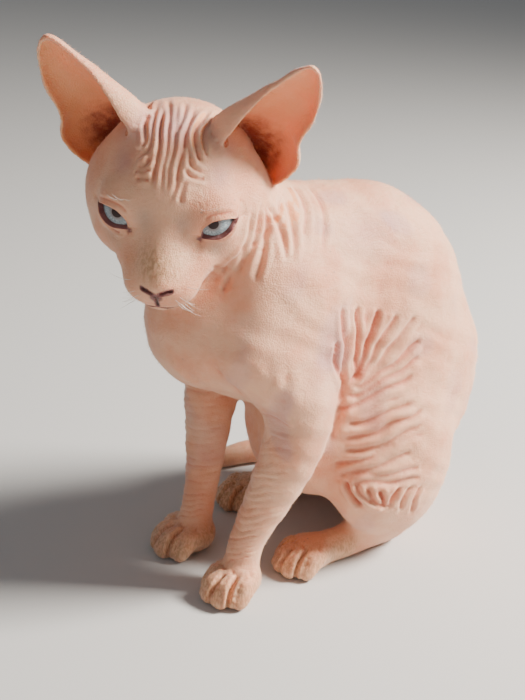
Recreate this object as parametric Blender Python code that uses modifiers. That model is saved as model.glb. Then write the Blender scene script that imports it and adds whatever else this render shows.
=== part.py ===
"""A young sphynx cat, sitting hunched on its haunches with its head turned to its left and its chin down.

Life size, +Z up. The chest faces -Y and the cat's left side is +X. The floor is Z = 0. Lengths are in mm up to
the last step, which turns them into metres. The flesh is one smooth form, blended from balls and limbs that
stand for its muscles and bones. Each named part is that form inside its own region, with thin cuts between.
"""

import math

import bmesh
import bpy
import numpy as np
from mathutils import Euler, Matrix, Vector

GAP = 0.3  # between neighbouring parts
UNCHANGED = Matrix.Identity(4)

SKIN_COLOUR = (0.86, 0.62, 0.52, 1)
EAR_COLOUR = (0.88, 0.52, 0.38, 1)
EYE_COLOUR = (0.55, 0.70, 0.74, 1)

# How softly neighbouring forms flow into each other, and how finely each region is meshed
BODY_BLEND, HEAD_BLEND, PAW_BLEND, JOIN_BLEND = 5.0, 2.6, 1.1, 1.6
BODY_VOXEL, HEAD_VOXEL, PAW_VOXEL = 2.4, 1.3, 1.2
BODY_TRIANGLES = 5000
BEAD_SEGMENTS, CUTTER_SEGMENTS, EYE_SEGMENTS, NOSTRIL_SEGMENTS = (18, 10), (18, 9), (18, 10), (12, 8)
MARGIN = 5  # how far past its region a finely meshed part is made before it is cut
SHARP_ANGLE = 40

TORSO = (
    # centre, radii and turn of the ribs, back, loin, flank, belly, pouch, rump, seat, breast and withers
    ((0, 40, 148), (38, 56, 52), (-8, 0, 0)),
    ((-2, 86, 160), (32, 52, 48), (-4, 0, 0)),
    ((-4, 104, 138), (39, 54, 57), (0, 0, 0)),
    ((-5, 114, 108), (42, 61, 46), (0, 0, 0)),
    ((-4, 86, 92), (42, 46, 46), (0, 0, 0)),
    ((-2, 68, 70), (35, 31, 35), (0, 0, 0)),
    ((-6, 122, 84), (43, 50, 48), (0, 0, 0)),
    ((-8, 120, 38), (30, 24, 39), (0, 0, 0)),
    ((0, -3, 146), (29, 27, 33), (0, 0, 0)),
    ((-2, 54, 184), (22, 34, 22), (0, 0, 0)),
)
SIDES = {
    # thigh, knee, and shoulder
    "left": (
        ((31, 104, 60), (22, 33, 46), (0, 0, -6)),
        ((37, 84, 48), (13, 17, 20), (0, 0, 0)),
        ((31, 30, 148), (14, 28, 40), (20, 0, 0)),
    ),
    "right": (
        ((-46, 108, 62), (22, 35, 46), (0, 0, 6)),
        ((-52, 88, 48), (14, 18, 20), (0, 0, 0)),
        ((-31, 26, 148), (14, 28, 40), (20, 0, 0)),
    ),
}
LIMBS = {
    # points along each limb and its radius there, ending inside the paw
    "foreleg_left": (
        (31, 8, 138, 14), (37, 34, 110, 16), (36, 33, 84, 15),
        (31, 25, 56, 12.3), (27, 16, 32, 9.4), (27, 12, 16, 8.6),
    ),
    "foreleg_right": (
        (-31, 2, 138, 14), (-36, 24, 110, 15), (-33, 22, 84, 13.5),
        (-29, 19, 56, 10.8), (-24, 14, 32, 9), (-22, 10, 16, 8.5),
    ),
    "hindleg_left": ((18, 113, 12.5, 12), (20, 99, 9.5, 9.2), (23, 80, 8.2, 8.4), (23.5, 62, 8.2, 8.4)),
    "hindleg_right": ((-50, 116, 12.5, 12.5), (-51, 101, 9.5, 9.2), (-52, 84, 8.2, 8.4), (-51, 68, 8.2, 8.4)),
}
NECK = ((-2, 46, 168, 34), (-3, 20, 186, 31), (-4, 2, 200, 29))
TAIL = (
    (-8, 126, 32, 17), (-14, 145, 18, 13.5), (-33, 154, 12, 11), (-56, 153, 9.5, 9.7),
    (-77, 138, 8.4, 8.8), (-91, 112, 8, 8.3), (-97, 86, 7.4, 7.6), (-97, 66, 6, 6.2),
)
PAWS = {
    # heel of the paw on the floor, heading in degrees to the cat's left, and size
    "foreleg_left": ((29.5, 10), 15, 0.93),
    "foreleg_right": ((-21, 9), -4, 1.0),
    "hindleg_left": ((24, 58), 6, 0.9),
    "hindleg_right": ((-51, 64), -2, 0.9),
}
PALM = ((0, -1, 9), (12.5, 13, 10))  # its centre and radii, for a paw of size 1
TOES = (
    # sideways, forward reach and bulk of the four toes, from the inner one out
    (-11.5, 8, 0.9),
    (-4.1, 14.5, 1.0),
    (4.3, 14, 1.0),
    (11.8, 7, 0.95),
)

# The head: where its middle is, and how it is turned to the cat's left, chin down, then leant. All that follows
# is in the head's own frame, with the face to -Y and the cat's left at +X
HEAD_CENTRE = Vector((-3, -17, 211))
HEAD_YAW, HEAD_PITCH, HEAD_LEAN = 53, 29, 3
SKULL = (
    # skull, forehead, muzzle, floor of the jaw, and chin
    ((0, 8, 8.5), (35, 37, 28), (0, 0, 0)),
    ((0, -12, 13), (23, 18, 14), (0, 0, 0)),
    ((0, -37, -14), (14, 15, 11), (0, 0, 0)),
    ((0, -20, -22), (18, 24, 12), (0, 0, 0)),
    ((0, -40, -27), (8.5, 9, 6), (0, 0, 0)),
)
FACE_PAIRS = (
    # cheek, jaw, brow, cheekbone, upper jaw, whisker pad and lids, on the cat's left
    ((28.5, 4, -3), (15, 23, 21), (0, 0, 0)),
    ((20, 0, -17), (14, 20, 14), (0, 0, 0)),
    ((18, -18, 12), (11, 8, 6), (0, 0, 0)),
    ((22, -15, -9), (14, 14, 12), (0, 0, 0)),
    ((12, -26, -11), (11, 14, 10), (0, 0, 0)),
    ((8, -42, -18), (8.5, 9, 7.5), (0, 0, 0)),
    ((20.3, -20, 7), (11.7, 11.7, 11.7), (0, 0, 0)),
)
NOSE_BRIDGE = ((0, -14, 8, 13), (0, -30, 0, 10.5), (0, -42, -6, 8), (0, -50, -10, 5.6))  # with its radii
NOSTRIL, NOSTRIL_RADII = Vector((3.2, -54.3, -13.5)), (1.5, 2.6, 1.2)
MOUTH = ((0, -50, -23), (5, -49, -26), (10.5, -45, -27), (15, -38, -25.5), (19, -29, -22))
SPLIT = ((0, -54, -16.5), (0, -51, -21), (0, -50, -23))  # from the nose down to the mouth
LINE_RADIUS = 0.7
EYE_CENTRE, EYE_RADIUS = Vector((20.3, -20, 7)), 10.5
EYE_GAZE = Vector((0.45, -0.89, 0.05))
EYE_CORNERS = Vector((29.8, -19.5, 12)), Vector((12, -27.5, 4.4))  # outer, inner
LID_OPENING, LID_LIFT = (10.2, 4.8, 4.8), 1.3  # half its length, how far it opens up and down, and how high it sits
LID_STEPS = 20

# The ears: their two edges from root to tip, and the depth of the cup between them
EAR_INNER = ((10, 14, 22), (18, 11, 38.5), (34, 11.5, 52.5), (46.5, 11, 63.8), (52.8, 10, 70), (57.5, 10, 72))
EAR_OUTER = (
    (34, 18, -10), (47, 13, 2), (55.5, 11, 16), (55, 11, 29),
    (61, 12, 44), (62.5, 11, 58), (61, 10, 68.5), (57.5, 10, 72),
)
EAR_DEPTH = (17, 13.5, 8.5, 5, 1.5)
EAR_CURL, EAR_OUTER_CURL = (150, 132, 104, 93, 90), 98  # degrees each edge curls round, the inner from root to tip
EAR_ROWS, EAR_COLUMNS, EAR_CROWDING = 10, 10, 0.75  # a crowding under 1 puts more rows towards the tip
EAR_THICKNESS = 1.8

REGIONS = {
    # each region is a ball or a block behind planes; those with a voxel size are meshed finely
    "forepaw_left": {
        "planes": (((0, 0, 25), (0, 0, 1)), ((4, 0, 0), (-1, 0, 0)), ((0, 30, 0), (0, 1, 0))),
        "voxel": PAW_VOXEL,
        "triangles": 520,
    },
    "forepaw_right": {
        "planes": (((0, 0, 25), (0, 0, 1)), ((2, 0, 0), (1, 0, 0)), ((0, 30, 0), (0, 1, 0))),
        "voxel": PAW_VOXEL,
        "triangles": 520,
    },
    "hindpaw_left": {
        "planes": (
            ((0, 0, 22), (0, 0, 1)), ((2, 0, 0), (-1, 0, 0)),
            ((0, 31, 0), (0, -1, 0)), ((0, 80, 0), (0, 1, 0)),
        ),
        "voxel": PAW_VOXEL,
        "triangles": 560,
    },
    "hindpaw_right": {
        "planes": (
            ((0, 0, 22), (0, 0, 1)), ((-28, 0, 0), (1, 0, 0)), ((-75, 0, 0), (-1, 0, 0)),
            ((0, 31, 0), (0, -1, 0)), ((0, 84, 0), (0, 1, 0)),
        ),
        "voxel": PAW_VOXEL,
        "triangles": 560,
    },
    "tail_tip": {
        "planes": (
            ((0, 104, 0), (0, 1, 0)), ((-76, 0, 0), (1, 0, 0)),
            ((0, 0, 21), (0, 0, 1)), ((0, 40, 0), (0, -1, 0)),
        ),
    },
    "tail_middle": {
        "planes": (
            ((-70, 146, 0), (0.75, 0.66, 0)), ((-62, 150, 0), (0.99, -0.12, 0)),
            ((0, 0, 22), (0, 0, 1)), ((0, 100, 0), (0, -1, 0)),
        ),
    },
    "tail_base": {
        "planes": (((-32, 0, 0), (1, 0, 0)), ((0, 138.5, 0), (0, -1, 0)), ((0, 0, 22), (0, 0, 1))),
    },
    "foreleg_left": {
        "planes": (
            ((17, 20, 94), (-0.64, 0, 0.77)), ((14, 0, 94), (-0.995, 0, 0.095)), ((0, 50, 96), (0, 0.957, -0.29)),
        ),
    },
    "foreleg_right": {
        "planes": (
            ((-17, 20, 94), (0.64, 0, 0.77)), ((-12, 0, 94), (0.995, 0, 0.11)), ((0, 46, 96), (0, 0.957, -0.29)),
        ),
    },
    "hindleg_left": {"centre": (50, 116, 46), "radius": 62, "planes": (((6, 0, 0), (-1, 0, 0)),)},
    "hindleg_right": {"centre": (-66, 116, 46), "radius": 62, "planes": (((-22, 0, 0), (1, 0, 0)),)},
    "head": {
        "centre": (5, -23, 205),
        "radius": 59,
        "planes": (((15, -30, 155), (-0.2, 0.35, -0.92)),),
        "voxel": HEAD_VOXEL,
        "triangles": 2300,
    },
    "neck": {"planes": (((0, 50, 203), (0, 0.572, -0.82)),)},
    "chest": {"planes": (((0, 72, 150), (0, 1, 0.1)),)},
}


def head_frame():
    turn = Matrix.Rotation(math.radians(HEAD_YAW), 4, "Z") @ Matrix.Rotation(math.radians(HEAD_PITCH), 4, "X")
    return Matrix.Translation(HEAD_CENTRE) @ turn @ Matrix.Rotation(math.radians(HEAD_LEAN), 4, "Y")


def paw_frame(name):
    (x, y), heading, size = PAWS[name]
    return Matrix.Translation((x, y, 0)) @ Matrix.Rotation(math.radians(heading), 4, "Z") @ Matrix.Scale(size, 4)


class Form:
    """A soft shape: how far points are from its skin, and the balls that roughly fill it."""

    def __init__(self, distance, balls):
        self.distance = distance
        self.balls = balls


def ball(centre, radii, turn=(0, 0, 0), frame=UNCHANGED):
    lean = Euler([math.radians(a) for a in turn]).to_matrix().to_4x4()
    place = frame @ Matrix.Translation(centre) @ lean
    inside = np.array(place.inverted())
    size = frame.to_scale()[0]
    radii = np.array(radii, float)

    def distance(points):
        local = points @ inside[:3, :3].T + inside[:3, 3]
        near = np.linalg.norm(local / radii, axis=1)
        steep = np.linalg.norm(local / radii**2, axis=1) + 1e-9
        return near * (near - 1) / steep * size

    return Form(distance, [place @ Matrix.Diagonal((*radii, 1))])


def smooth_path(points, steps=4):
    """A Catmull-Rom line through the points, each (x, y, z, radius)."""
    rows = np.array(points, float)
    rows = np.vstack([2 * rows[0] - rows[1], rows, 2 * rows[-1] - rows[-2]])
    made = []
    for a, b, c, d in zip(rows, rows[1:], rows[2:], rows[3:]):
        for t in np.arange(steps) / steps:
            bend = (2 * a - 5 * b + 4 * c - d) * t**2 + (3 * b - a - 3 * c + d) * t**3
            made.append(0.5 * (2 * b + (c - a) * t + bend))
    return np.array([*made, rows[-2]])


def limb(points, frame=UNCHANGED, steps=4):
    path = smooth_path(points, steps)
    turn = np.array(frame)
    centres = path[:, :3] @ turn[:3, :3].T + turn[:3, 3]
    radii = path[:, 3] * frame.to_scale()[0]

    def distance(points):
        best = np.full(len(points), 1e9)
        for a, b, wide, thin in zip(centres, centres[1:], radii, radii[1:]):
            along = b - a
            t = np.clip((points - a) @ along / (along @ along), 0, 1)
            off = np.linalg.norm(points - a - t[:, None] * along, axis=1)
            best = np.minimum(best, off - wide - t * (thin - wide))
        return best

    beads = [Matrix.Translation(c) @ Matrix.Scale(r, 4) for c, r in zip(centres, radii)]
    return Form(distance, beads)


def blended(forms, softness):
    """One form from many, its creases filled."""

    def distance(points):
        gaps = np.array([form.distance(points) for form in forms])
        nearest = gaps.min(axis=0)
        return nearest - softness * np.log(np.exp((nearest - gaps) / softness).sum(axis=0))

    return Form(distance, [place for form in forms for place in form.balls])


def paw(name):
    frame = paw_frame(name)
    inner = -1 if name.endswith("left") else 1
    forms = [ball(*PALM, frame=frame)]
    for across, reach, bulk in TOES:
        x = -across * inner
        toe = (
            (x * 0.75, -reach + 8, 12, 4.4 * bulk),
            (x, -reach, 10, 5.2 * bulk),
            (x * 1.04, -reach - 5, 4.6, 4.9 * bulk),
        )
        forms.append(limb(toe, frame, steps=2))
    return blended(forms, PAW_BLEND)


def head():
    frame = head_frame()
    forms = [ball(*shape, frame) for shape in SKULL]
    for (x, y, z), radii, (tx, ty, tz) in FACE_PAIRS:
        forms += [ball((side * x, y, z), radii, (tx, side * ty, side * tz), frame) for side in (1, -1)]
    forms.append(limb(NOSE_BRIDGE, frame))
    return blended(forms, HEAD_BLEND)


def trunk():
    forms = [ball(*shape) for shape in TORSO]
    forms += [ball(*shape) for side in SIDES.values() for shape in side]
    forms += [limb(points) for points in LIMBS.values()]
    return blended([*forms, limb(NECK), limb(TAIL)], BODY_BLEND)


def add_ball(shape, segments, radius, place=UNCHANGED):
    around, up = segments
    bmesh.ops.create_uvsphere(shape, u_segments=around, v_segments=up, radius=radius, matrix=place)


def clear_scene():
    for old in list(bpy.data.objects):
        bpy.data.objects.remove(old)


def link(name, mesh, collection):
    thing = bpy.data.objects.new(name, mesh)
    collection.objects.link(thing)
    return thing


def applied(thing):
    """The object with its modifiers worked into its mesh."""
    bpy.context.view_layer.update()
    mesh = bpy.data.meshes.new_from_object(thing.evaluated_get(bpy.context.evaluated_depsgraph_get()))
    old = thing.data
    thing.modifiers.clear()
    thing.data = mesh
    bpy.data.meshes.remove(old)
    return thing


def remeshed(thing, voxel):
    remesh = thing.modifiers.new("Fuse", "REMESH")
    remesh.mode = "VOXEL"
    remesh.voxel_size = voxel
    return applied(thing)


def settled(thing, whole, rounds):
    """Every point of the mesh moved onto the skin of the whole form."""
    mesh = thing.data
    points = np.empty(len(mesh.vertices) * 3)
    mesh.vertices.foreach_get("co", points)
    points = points.reshape(-1, 3)
    normals = np.empty_like(points)
    for _ in range(rounds):
        mesh.vertex_normals.foreach_get("vector", normals.ravel())
        points -= np.clip(whole.distance(points), -3, 3)[:, None] * normals
        mesh.vertices.foreach_set("co", points.ravel())
        mesh.update()
    return thing


def skin_of(forms, whole, voxel, collection):
    """A closed mesh of the whole form's skin, in the neighbourhood of the given forms."""
    bead = bmesh.new()
    add_ball(bead, BEAD_SEGMENTS, 1)
    unit = bpy.data.meshes.new("bead")
    bead.to_mesh(unit)
    bead.free()
    soup = bmesh.new()
    for form in forms:
        for place in form.balls:
            copy = unit.copy()
            copy.transform(place)
            soup.from_mesh(copy)
            bpy.data.meshes.remove(copy)
    mesh = bpy.data.meshes.new("flesh")
    soup.to_mesh(mesh)
    soup.free()
    thing = link("flesh", mesh, collection)
    for _ in range(2):
        settled(remeshed(thing, voxel), whole, 4)
    return remeshed(thing, voxel)


def thinned(thing, triangles):
    """The mesh with about this many triangles, and its soles flat on the floor."""
    for vertex in thing.data.vertices:
        vertex.co.z = max(vertex.co.z, 0)
    thing.data.calc_loop_triangles()
    decimate = thing.modifiers.new("Thin", "DECIMATE")
    decimate.ratio = min(1, triangles / len(thing.data.loop_triangles))
    return applied(thing)


def block(planes, centre=None, radius=300, grow=0):
    """A cutter: a ball or, with no centre, a cube, kept only behind its (point, outward normal) planes."""
    shape = bmesh.new()
    if centre:
        add_ball(shape, CUTTER_SEGMENTS, radius + grow, Matrix.Translation(centre))
    else:
        bmesh.ops.create_cube(shape, size=2 * radius)
    for point, normal in planes:
        normal = Vector(normal).normalized()
        everything = [*shape.verts, *shape.edges, *shape.faces]
        cut = bmesh.ops.bisect_plane(
            shape, geom=everything, plane_co=Vector(point) + grow * normal, plane_no=normal, clear_outer=True
        )
        rim = [edge for edge in cut["geom_cut"] if isinstance(edge, bmesh.types.BMEdge)]
        bmesh.ops.edgeloop_fill(shape, edges=rim)
    return cutter_from(shape)


def cutter_from(shape):
    bmesh.ops.recalc_face_normals(shape, faces=shape.faces)
    mesh = bpy.data.meshes.new("cutter")
    shape.to_mesh(mesh)
    shape.free()
    cutter = link("cutter", mesh, bpy.data.collections["cutters"])
    cutter.hide_render = True
    cutter.display_type = "WIRE"
    return cutter


def volume(faces):
    return sum(f.verts[0].co.dot(f.verts[1].co.cross(f.verts[2].co)) for f in faces) / 6


def keep_largest(shape):
    """Deletes every closed surface of the shape but the one with the most room inside."""
    unseen = set(shape.faces)
    surfaces = []
    while unseen:
        waiting = [unseen.pop()]
        surface = list(waiting)
        while waiting:
            near = {face for edge in waiting.pop().edges for face in edge.link_faces} & unseen
            unseen -= near
            waiting += near
            surface += near
        surfaces.append(surface)
    surfaces.sort(key=volume)
    scraps = [face for surface in surfaces[:-1] for face in surface]
    bmesh.ops.delete(shape, geom=scraps, context="FACES")


def cut(thing, cutter, operation="DIFFERENCE"):
    """Cuts the mesh with a cutter, which is used up, and keeps the largest closed piece."""
    boolean = thing.modifiers.new("Cut", "BOOLEAN")
    boolean.solver = "MANIFOLD"
    boolean.operation = operation
    boolean.object = cutter
    applied(thing)
    bpy.data.objects.remove(cutter)
    shape = bmesh.new()
    shape.from_mesh(thing.data)
    bmesh.ops.triangulate(shape, faces=shape.faces)
    keep_largest(shape)
    shape.to_mesh(thing.data)
    shape.free()
    return thing


def copied(thing, name):
    return link(name, thing.data.copy(), thing.users_collection[0])


def part_flesh(body, whole):
    """The body parted into its named regions, one after the other, with a thin gap round each."""
    nodes = {}
    rest = copied(body, "belly")
    for name, region in REGIONS.items():
        shape = {key: region[key] for key in ("planes", "centre", "radius") if key in region}
        if "voxel" in region:
            node = cut(copied(body, name), block(**shape, grow=MARGIN), "INTERSECT")
            settled(remeshed(node, region["voxel"]), whole, 4)
            thinned(node, region["triangles"])
        else:
            node = copied(rest, name)
        nodes[name] = cut(node, block(**shape), "INTERSECT")
        cut(rest, block(**shape, grow=GAP))
    nodes["belly"] = rest
    bpy.data.objects.remove(body)
    return nodes


def mirrored(point, side):
    return Vector((side * point[0], point[1], point[2]))


def eye_axes(side):
    """The way an eye looks, the line through its corners, and up across it, in the head's frame."""
    outer, inner = (mirrored(corner, side) for corner in EYE_CORNERS)
    along = (outer - inner).normalized()
    out = mirrored(EYE_GAZE, side)
    out = (out - out.dot(along) * along).normalized()
    up = along.cross(out)
    return out, along, up if up.z > 0 else -up


def eye_cutter(side):
    """The socket round an eyeball, open to the front between the two lids."""
    centre = mirrored(EYE_CENTRE, side)
    out, along, up = eye_axes(side)
    half, above, below = LID_OPENING
    shape = bmesh.new()
    ring = []
    for turn in np.arange(LID_STEPS) * 2 * math.pi / LID_STEPS:
        rise = (above if turn < math.pi else below) * math.sin(turn)
        ring.append(shape.verts.new(centre + out + half * math.cos(turn) * along + (rise + LID_LIFT) * up))
    sides = bmesh.ops.extrude_face_region(shape, geom=[shape.faces.new(ring)])
    far = [part for part in sides["geom"] if isinstance(part, bmesh.types.BMVert)]
    bmesh.ops.translate(shape, verts=far, vec=2 * EYE_RADIUS * out)
    bmesh.ops.transform(shape, matrix=head_frame(), verts=shape.verts)
    opening = cutter_from(shape)
    socket = bmesh.new()
    add_ball(socket, EYE_SEGMENTS, EYE_RADIUS + GAP, head_frame() @ Matrix.Translation(centre))
    return cut(cutter_from(socket), opening, "UNION")


def eyeball(name, side, collection):
    shape = bmesh.new()
    add_ball(shape, EYE_SEGMENTS, EYE_RADIUS, head_frame() @ Matrix.Translation(mirrored(EYE_CENTRE, side)))
    mesh = bpy.data.meshes.new(name)
    shape.to_mesh(mesh)
    shape.free()
    return link(name, mesh, collection)


def groove(skin, points):
    """A round wire laid on the skin, to cut a line with: the points are in the head's frame."""
    path = smooth_path([(*point, 0) for point in points], steps=3)[:, :3]
    on_skin = [skin.closest_point_on_mesh(head_frame() @ Vector(point))[1] for point in path]
    curve = bpy.data.curves.new("line", "CURVE")
    curve.dimensions = "3D"
    curve.bevel_depth = LINE_RADIUS
    curve.bevel_resolution = 0
    curve.use_fill_caps = True
    spline = curve.splines.new("POLY")
    spline.points.add(len(on_skin) - 1)
    for point, place in zip(spline.points, on_skin):
        point.co = (*place, 1)
    wire = link("line", curve, bpy.data.collections["cutters"])
    bpy.context.view_layer.update()
    shape = bmesh.new()
    shape.from_mesh(bpy.data.meshes.new_from_object(wire.evaluated_get(bpy.context.evaluated_depsgraph_get())))
    bmesh.ops.remove_doubles(shape, verts=shape.verts, dist=0.01)
    bpy.data.objects.remove(wire)
    return cutter_from(shape)


def carve_face(skin):
    """Sockets and lids, the line of the mouth and the split below the nose, and the nostrils."""
    mouth = [mirrored(point, -1) for point in reversed(MOUTH[1:])] + [Vector(point) for point in MOUTH]
    lines = [groove(skin, mouth), groove(skin, SPLIT)]
    for line in lines:
        cut(skin, line)
    for side in (1, -1):
        cut(skin, eye_cutter(side))
        shape = bmesh.new()
        place = head_frame() @ Matrix.Translation(mirrored(NOSTRIL, side)) @ Matrix.Diagonal((*NOSTRIL_RADII, 1))
        add_ball(shape, NOSTRIL_SEGMENTS, 1, place)
        cut(skin, cutter_from(shape))


def along_path(points, t):
    """The place at t, from 0 to 1, on a smooth line through the points."""
    path = smooth_path([(*point, 0) for point in points], steps=8)[:, :3]
    where = t * (len(path) - 1)
    low = min(int(where), len(path) - 2)
    return Vector(path[low] + (where - low) * (path[low + 1] - path[low]))


def ear(name, side, skin, collection):
    """A cupped shell between the ear's two edges, open to the front, its root cut to the skull."""
    shape = bmesh.new()
    rows = []
    for t in np.linspace(0, 1, EAR_ROWS) ** EAR_CROWDING:
        inner, outer = along_path(EAR_INNER, t), along_path(EAR_OUTER, t)
        middle, half = (inner + outer) / 2, (outer - inner) / 2
        depth = float(np.interp(t, np.linspace(0, 1, len(EAR_DEPTH)), EAR_DEPTH))
        curl = math.radians(np.interp(t, np.linspace(0, 1, len(EAR_CURL)), EAR_CURL))
        row = []
        for turn in np.linspace(-curl, math.radians(EAR_OUTER_CURL), EAR_COLUMNS):
            place = middle + math.sin(turn) * half + Vector((0, math.cos(turn) * depth, 0))
            row.append(shape.verts.new(head_frame() @ mirrored(place, side)))
        rows.append(row)
    for low, high in zip(rows, rows[1:]):
        for a, b, c, d in zip(low, low[1:], high[1:], high):
            shape.faces.new((a, b, c, d) if side > 0 else (d, c, b, a))
    bmesh.ops.triangulate(shape, faces=shape.faces)
    mesh = bpy.data.meshes.new(name)
    shape.to_mesh(mesh)
    shape.free()
    thing = link(name, mesh, collection)
    solidify = thing.modifiers.new("Thickness", "SOLIDIFY")
    solidify.thickness = EAR_THICKNESS
    solidify.offset = 0
    applied(thing)
    skull = copied(skin, "skull")
    for vertex, normal in zip(skull.data.vertices, [n.vector.copy() for n in skull.data.vertex_normals]):
        vertex.co += GAP * normal
    return cut(thing, skull)


def material(name, colour, roughness):
    finish = bpy.data.materials.new(name)
    finish.use_nodes = True
    shader = finish.node_tree.nodes["Principled BSDF"]
    shader.inputs["Base Color"].default_value = colour
    shader.inputs["Roughness"].default_value = roughness
    return finish


def place_on_floor(nodes, collection):
    """Metres, with the origin on the floor under the middle of the whole cat."""
    for thing in nodes.values():
        thing.data.transform(Matrix.Scale(0.001, 4))
    corners = np.array([vertex.co for thing in nodes.values() for vertex in thing.data.vertices])
    low, high = corners.min(axis=0), corners.max(axis=0)
    placing = link("placing", None, collection)
    placing.location = (-(low[0] + high[0]) / 2, -(low[1] + high[1]) / 2, -low[2])
    for thing in nodes.values():
        thing.parent = placing


def main():
    clear_scene()
    cat = bpy.data.collections.new("sphynx_cat")
    cutters = bpy.data.collections.new("cutters")
    for collection in (cat, cutters):
        bpy.context.scene.collection.children.link(collection)
    forms = [trunk(), head(), *[paw(name) for name in PAWS]]
    whole = blended(forms, JOIN_BLEND)
    body = thinned(skin_of(forms, whole, BODY_VOXEL, cat), BODY_TRIANGLES)
    nodes = part_flesh(body, whole)
    for name, side in (("left", 1), ("right", -1)):
        nodes["ear_" + name] = ear("ear_" + name, side, nodes["head"], cat)
        nodes["eye_" + name] = eyeball("eye_" + name, side, cat)
    carve_face(nodes["head"])
    skin = material("skin", SKIN_COLOUR, 0.55)
    ears = material("ear_skin", EAR_COLOUR, 0.5)
    eyes = material("eye", EYE_COLOUR, 0.1)
    for name, thing in nodes.items():
        thing.data.materials.clear()
        thing.data.materials.append({"ear": ears, "eye": eyes}.get(name[:3], skin))
        thing.data.shade_smooth()
        thing.data.set_sharp_from_angle(angle=math.radians(SHARP_ANGLE))
    place_on_floor(nodes, cat)


main()
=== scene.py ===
# The sphynx cat's looks: one wrinkled skin over the solids, its eyes, claws, whiskers and downy coat
import math

import bmesh
import bpy
import numpy as np
from mathutils import Matrix, Vector
from mathutils.bvhtree import BVHTree


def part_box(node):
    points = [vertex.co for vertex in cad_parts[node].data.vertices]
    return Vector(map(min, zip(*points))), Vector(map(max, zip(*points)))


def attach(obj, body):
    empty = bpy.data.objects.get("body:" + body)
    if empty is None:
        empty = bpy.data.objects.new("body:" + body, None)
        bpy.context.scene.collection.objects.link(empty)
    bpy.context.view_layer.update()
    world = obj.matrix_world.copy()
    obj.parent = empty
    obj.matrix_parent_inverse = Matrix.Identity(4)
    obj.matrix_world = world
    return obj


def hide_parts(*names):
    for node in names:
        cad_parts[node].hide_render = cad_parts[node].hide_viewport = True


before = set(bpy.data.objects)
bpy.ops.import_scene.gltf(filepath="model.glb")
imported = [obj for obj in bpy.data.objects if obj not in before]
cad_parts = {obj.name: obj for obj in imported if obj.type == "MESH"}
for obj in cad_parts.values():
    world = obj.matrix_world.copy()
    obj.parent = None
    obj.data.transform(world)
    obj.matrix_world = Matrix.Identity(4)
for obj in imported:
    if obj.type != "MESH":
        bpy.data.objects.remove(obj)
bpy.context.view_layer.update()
mm = 0.001

# The head's own frame: origin in the middle of the head, the face towards -Y, up is +Z, the cat's left is +X
headTurn = {"yaw": 53, "pitch": 29, "lean": 3}
eye = {
    "place": (20.3, -20, 7), "radius": 10.5, "gaze": (0.16, -0.905, 0.395),
    "outerCorner": (29.8, -19.5, 12), "innerCorner": (12, -27.5, 4.4), "lidsFace": (0.45, -0.89, 0.05),
    "pupil": 2.5, "iris": 8.6, "cornea": 0.9,
}
headPlace = (-3, -17, 211)  # in the lengths of part.py, from the floor between the front paws
paws = {
    # heel, heading and size, as the solids have them
    "forepaw_left": ((29.5, 10), 15, 0.93),
    "forepaw_right": ((-21, 9), -4, 1.0),
    "hindpaw_left": ((24, 58), 6, 0.9),
    "hindpaw_right": ((-51, 64), -2, 0.9),
}
toes = ((-11.5, 8, 0.9), (-4.1, 14.5, 1.0), (4.3, 14, 1.0), (11.8, 7, 0.95))


def turnOf(yaw, pitch, lean):
    turn = Matrix.Rotation(math.radians(yaw), 4, "Z") @ Matrix.Rotation(math.radians(pitch), 4, "X")
    return turn @ Matrix.Rotation(math.radians(lean), 4, "Y")


def middleOf(node):
    low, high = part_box(node)
    return (Vector(low) + Vector(high)) / 2


headRotation = turnOf(**headTurn)
headOrigin = (middleOf("eye_left") + middleOf("eye_right")) / 2
headOrigin -= headRotation @ (Vector((0, eye["place"][1], eye["place"][2])) * mm)
headFrame = Matrix.Translation(headOrigin) @ headRotation
bodyShift = headOrigin - Vector(headPlace) * mm


def onHead(point, side=1):
    # a place in the head's frame, in millimetres, as a place in the scene
    return headFrame @ (Vector((side * point[0], point[1], point[2])) * mm)


def onBody(point):
    return Vector(point) * mm + bodyShift


def pawFrame(name):
    (x, y), heading, size = paws[name]
    place = Matrix.Translation(onBody((x, y, 0))) @ Matrix.Rotation(math.radians(heading), 4, "Z")
    return place @ Matrix.Scale(size * mm, 4)


def smoothPath(points, steps=8):
    # a Catmull-Rom line through the points
    rows = np.array(points, float)
    rows = np.vstack([2 * rows[0] - rows[1], rows, 2 * rows[-1] - rows[-2]])
    made = []
    for a, b, c, d in zip(rows, rows[1:], rows[2:], rows[3:]):
        for t in np.arange(steps) / steps:
            bend = (2 * a - 5 * b + 4 * c - d) * t**2 + (3 * b - a - 3 * c + d) * t**3
            made.append(0.5 * (2 * b + (c - a) * t + bend))
    return np.array([*made, rows[-2]])


def smoothstep(low, high, value):
    t = np.clip((value - low) / (high - low), 0, 1)
    return t * t * (3 - 2 * t)


def newObject(name, mesh):
    thing = bpy.data.objects.new(name, mesh)
    bpy.context.scene.collection.objects.link(thing)
    return thing


def meshFrom(shape, name):
    mesh = bpy.data.meshes.new(name)
    shape.to_mesh(mesh)
    shape.free()
    return mesh


def worked(thing):
    # the object with its modifiers worked into a plain mesh
    bpy.context.view_layer.update()
    mesh = bpy.data.meshes.new_from_object(thing.evaluated_get(bpy.context.evaluated_depsgraph_get()))
    old = thing.data
    thing.modifiers.clear()
    thing.data = mesh
    bpy.data.meshes.remove(old)
    return thing


def pointsOf(mesh):
    flat = np.empty(len(mesh.vertices) * 3, np.float32)
    mesh.vertices.foreach_get("co", flat)
    return flat.reshape(-1, 3).astype(float)


def setPoints(mesh, points):
    mesh.vertices.foreach_set("co", points.astype(np.float32).ravel())
    mesh.update()


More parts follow.
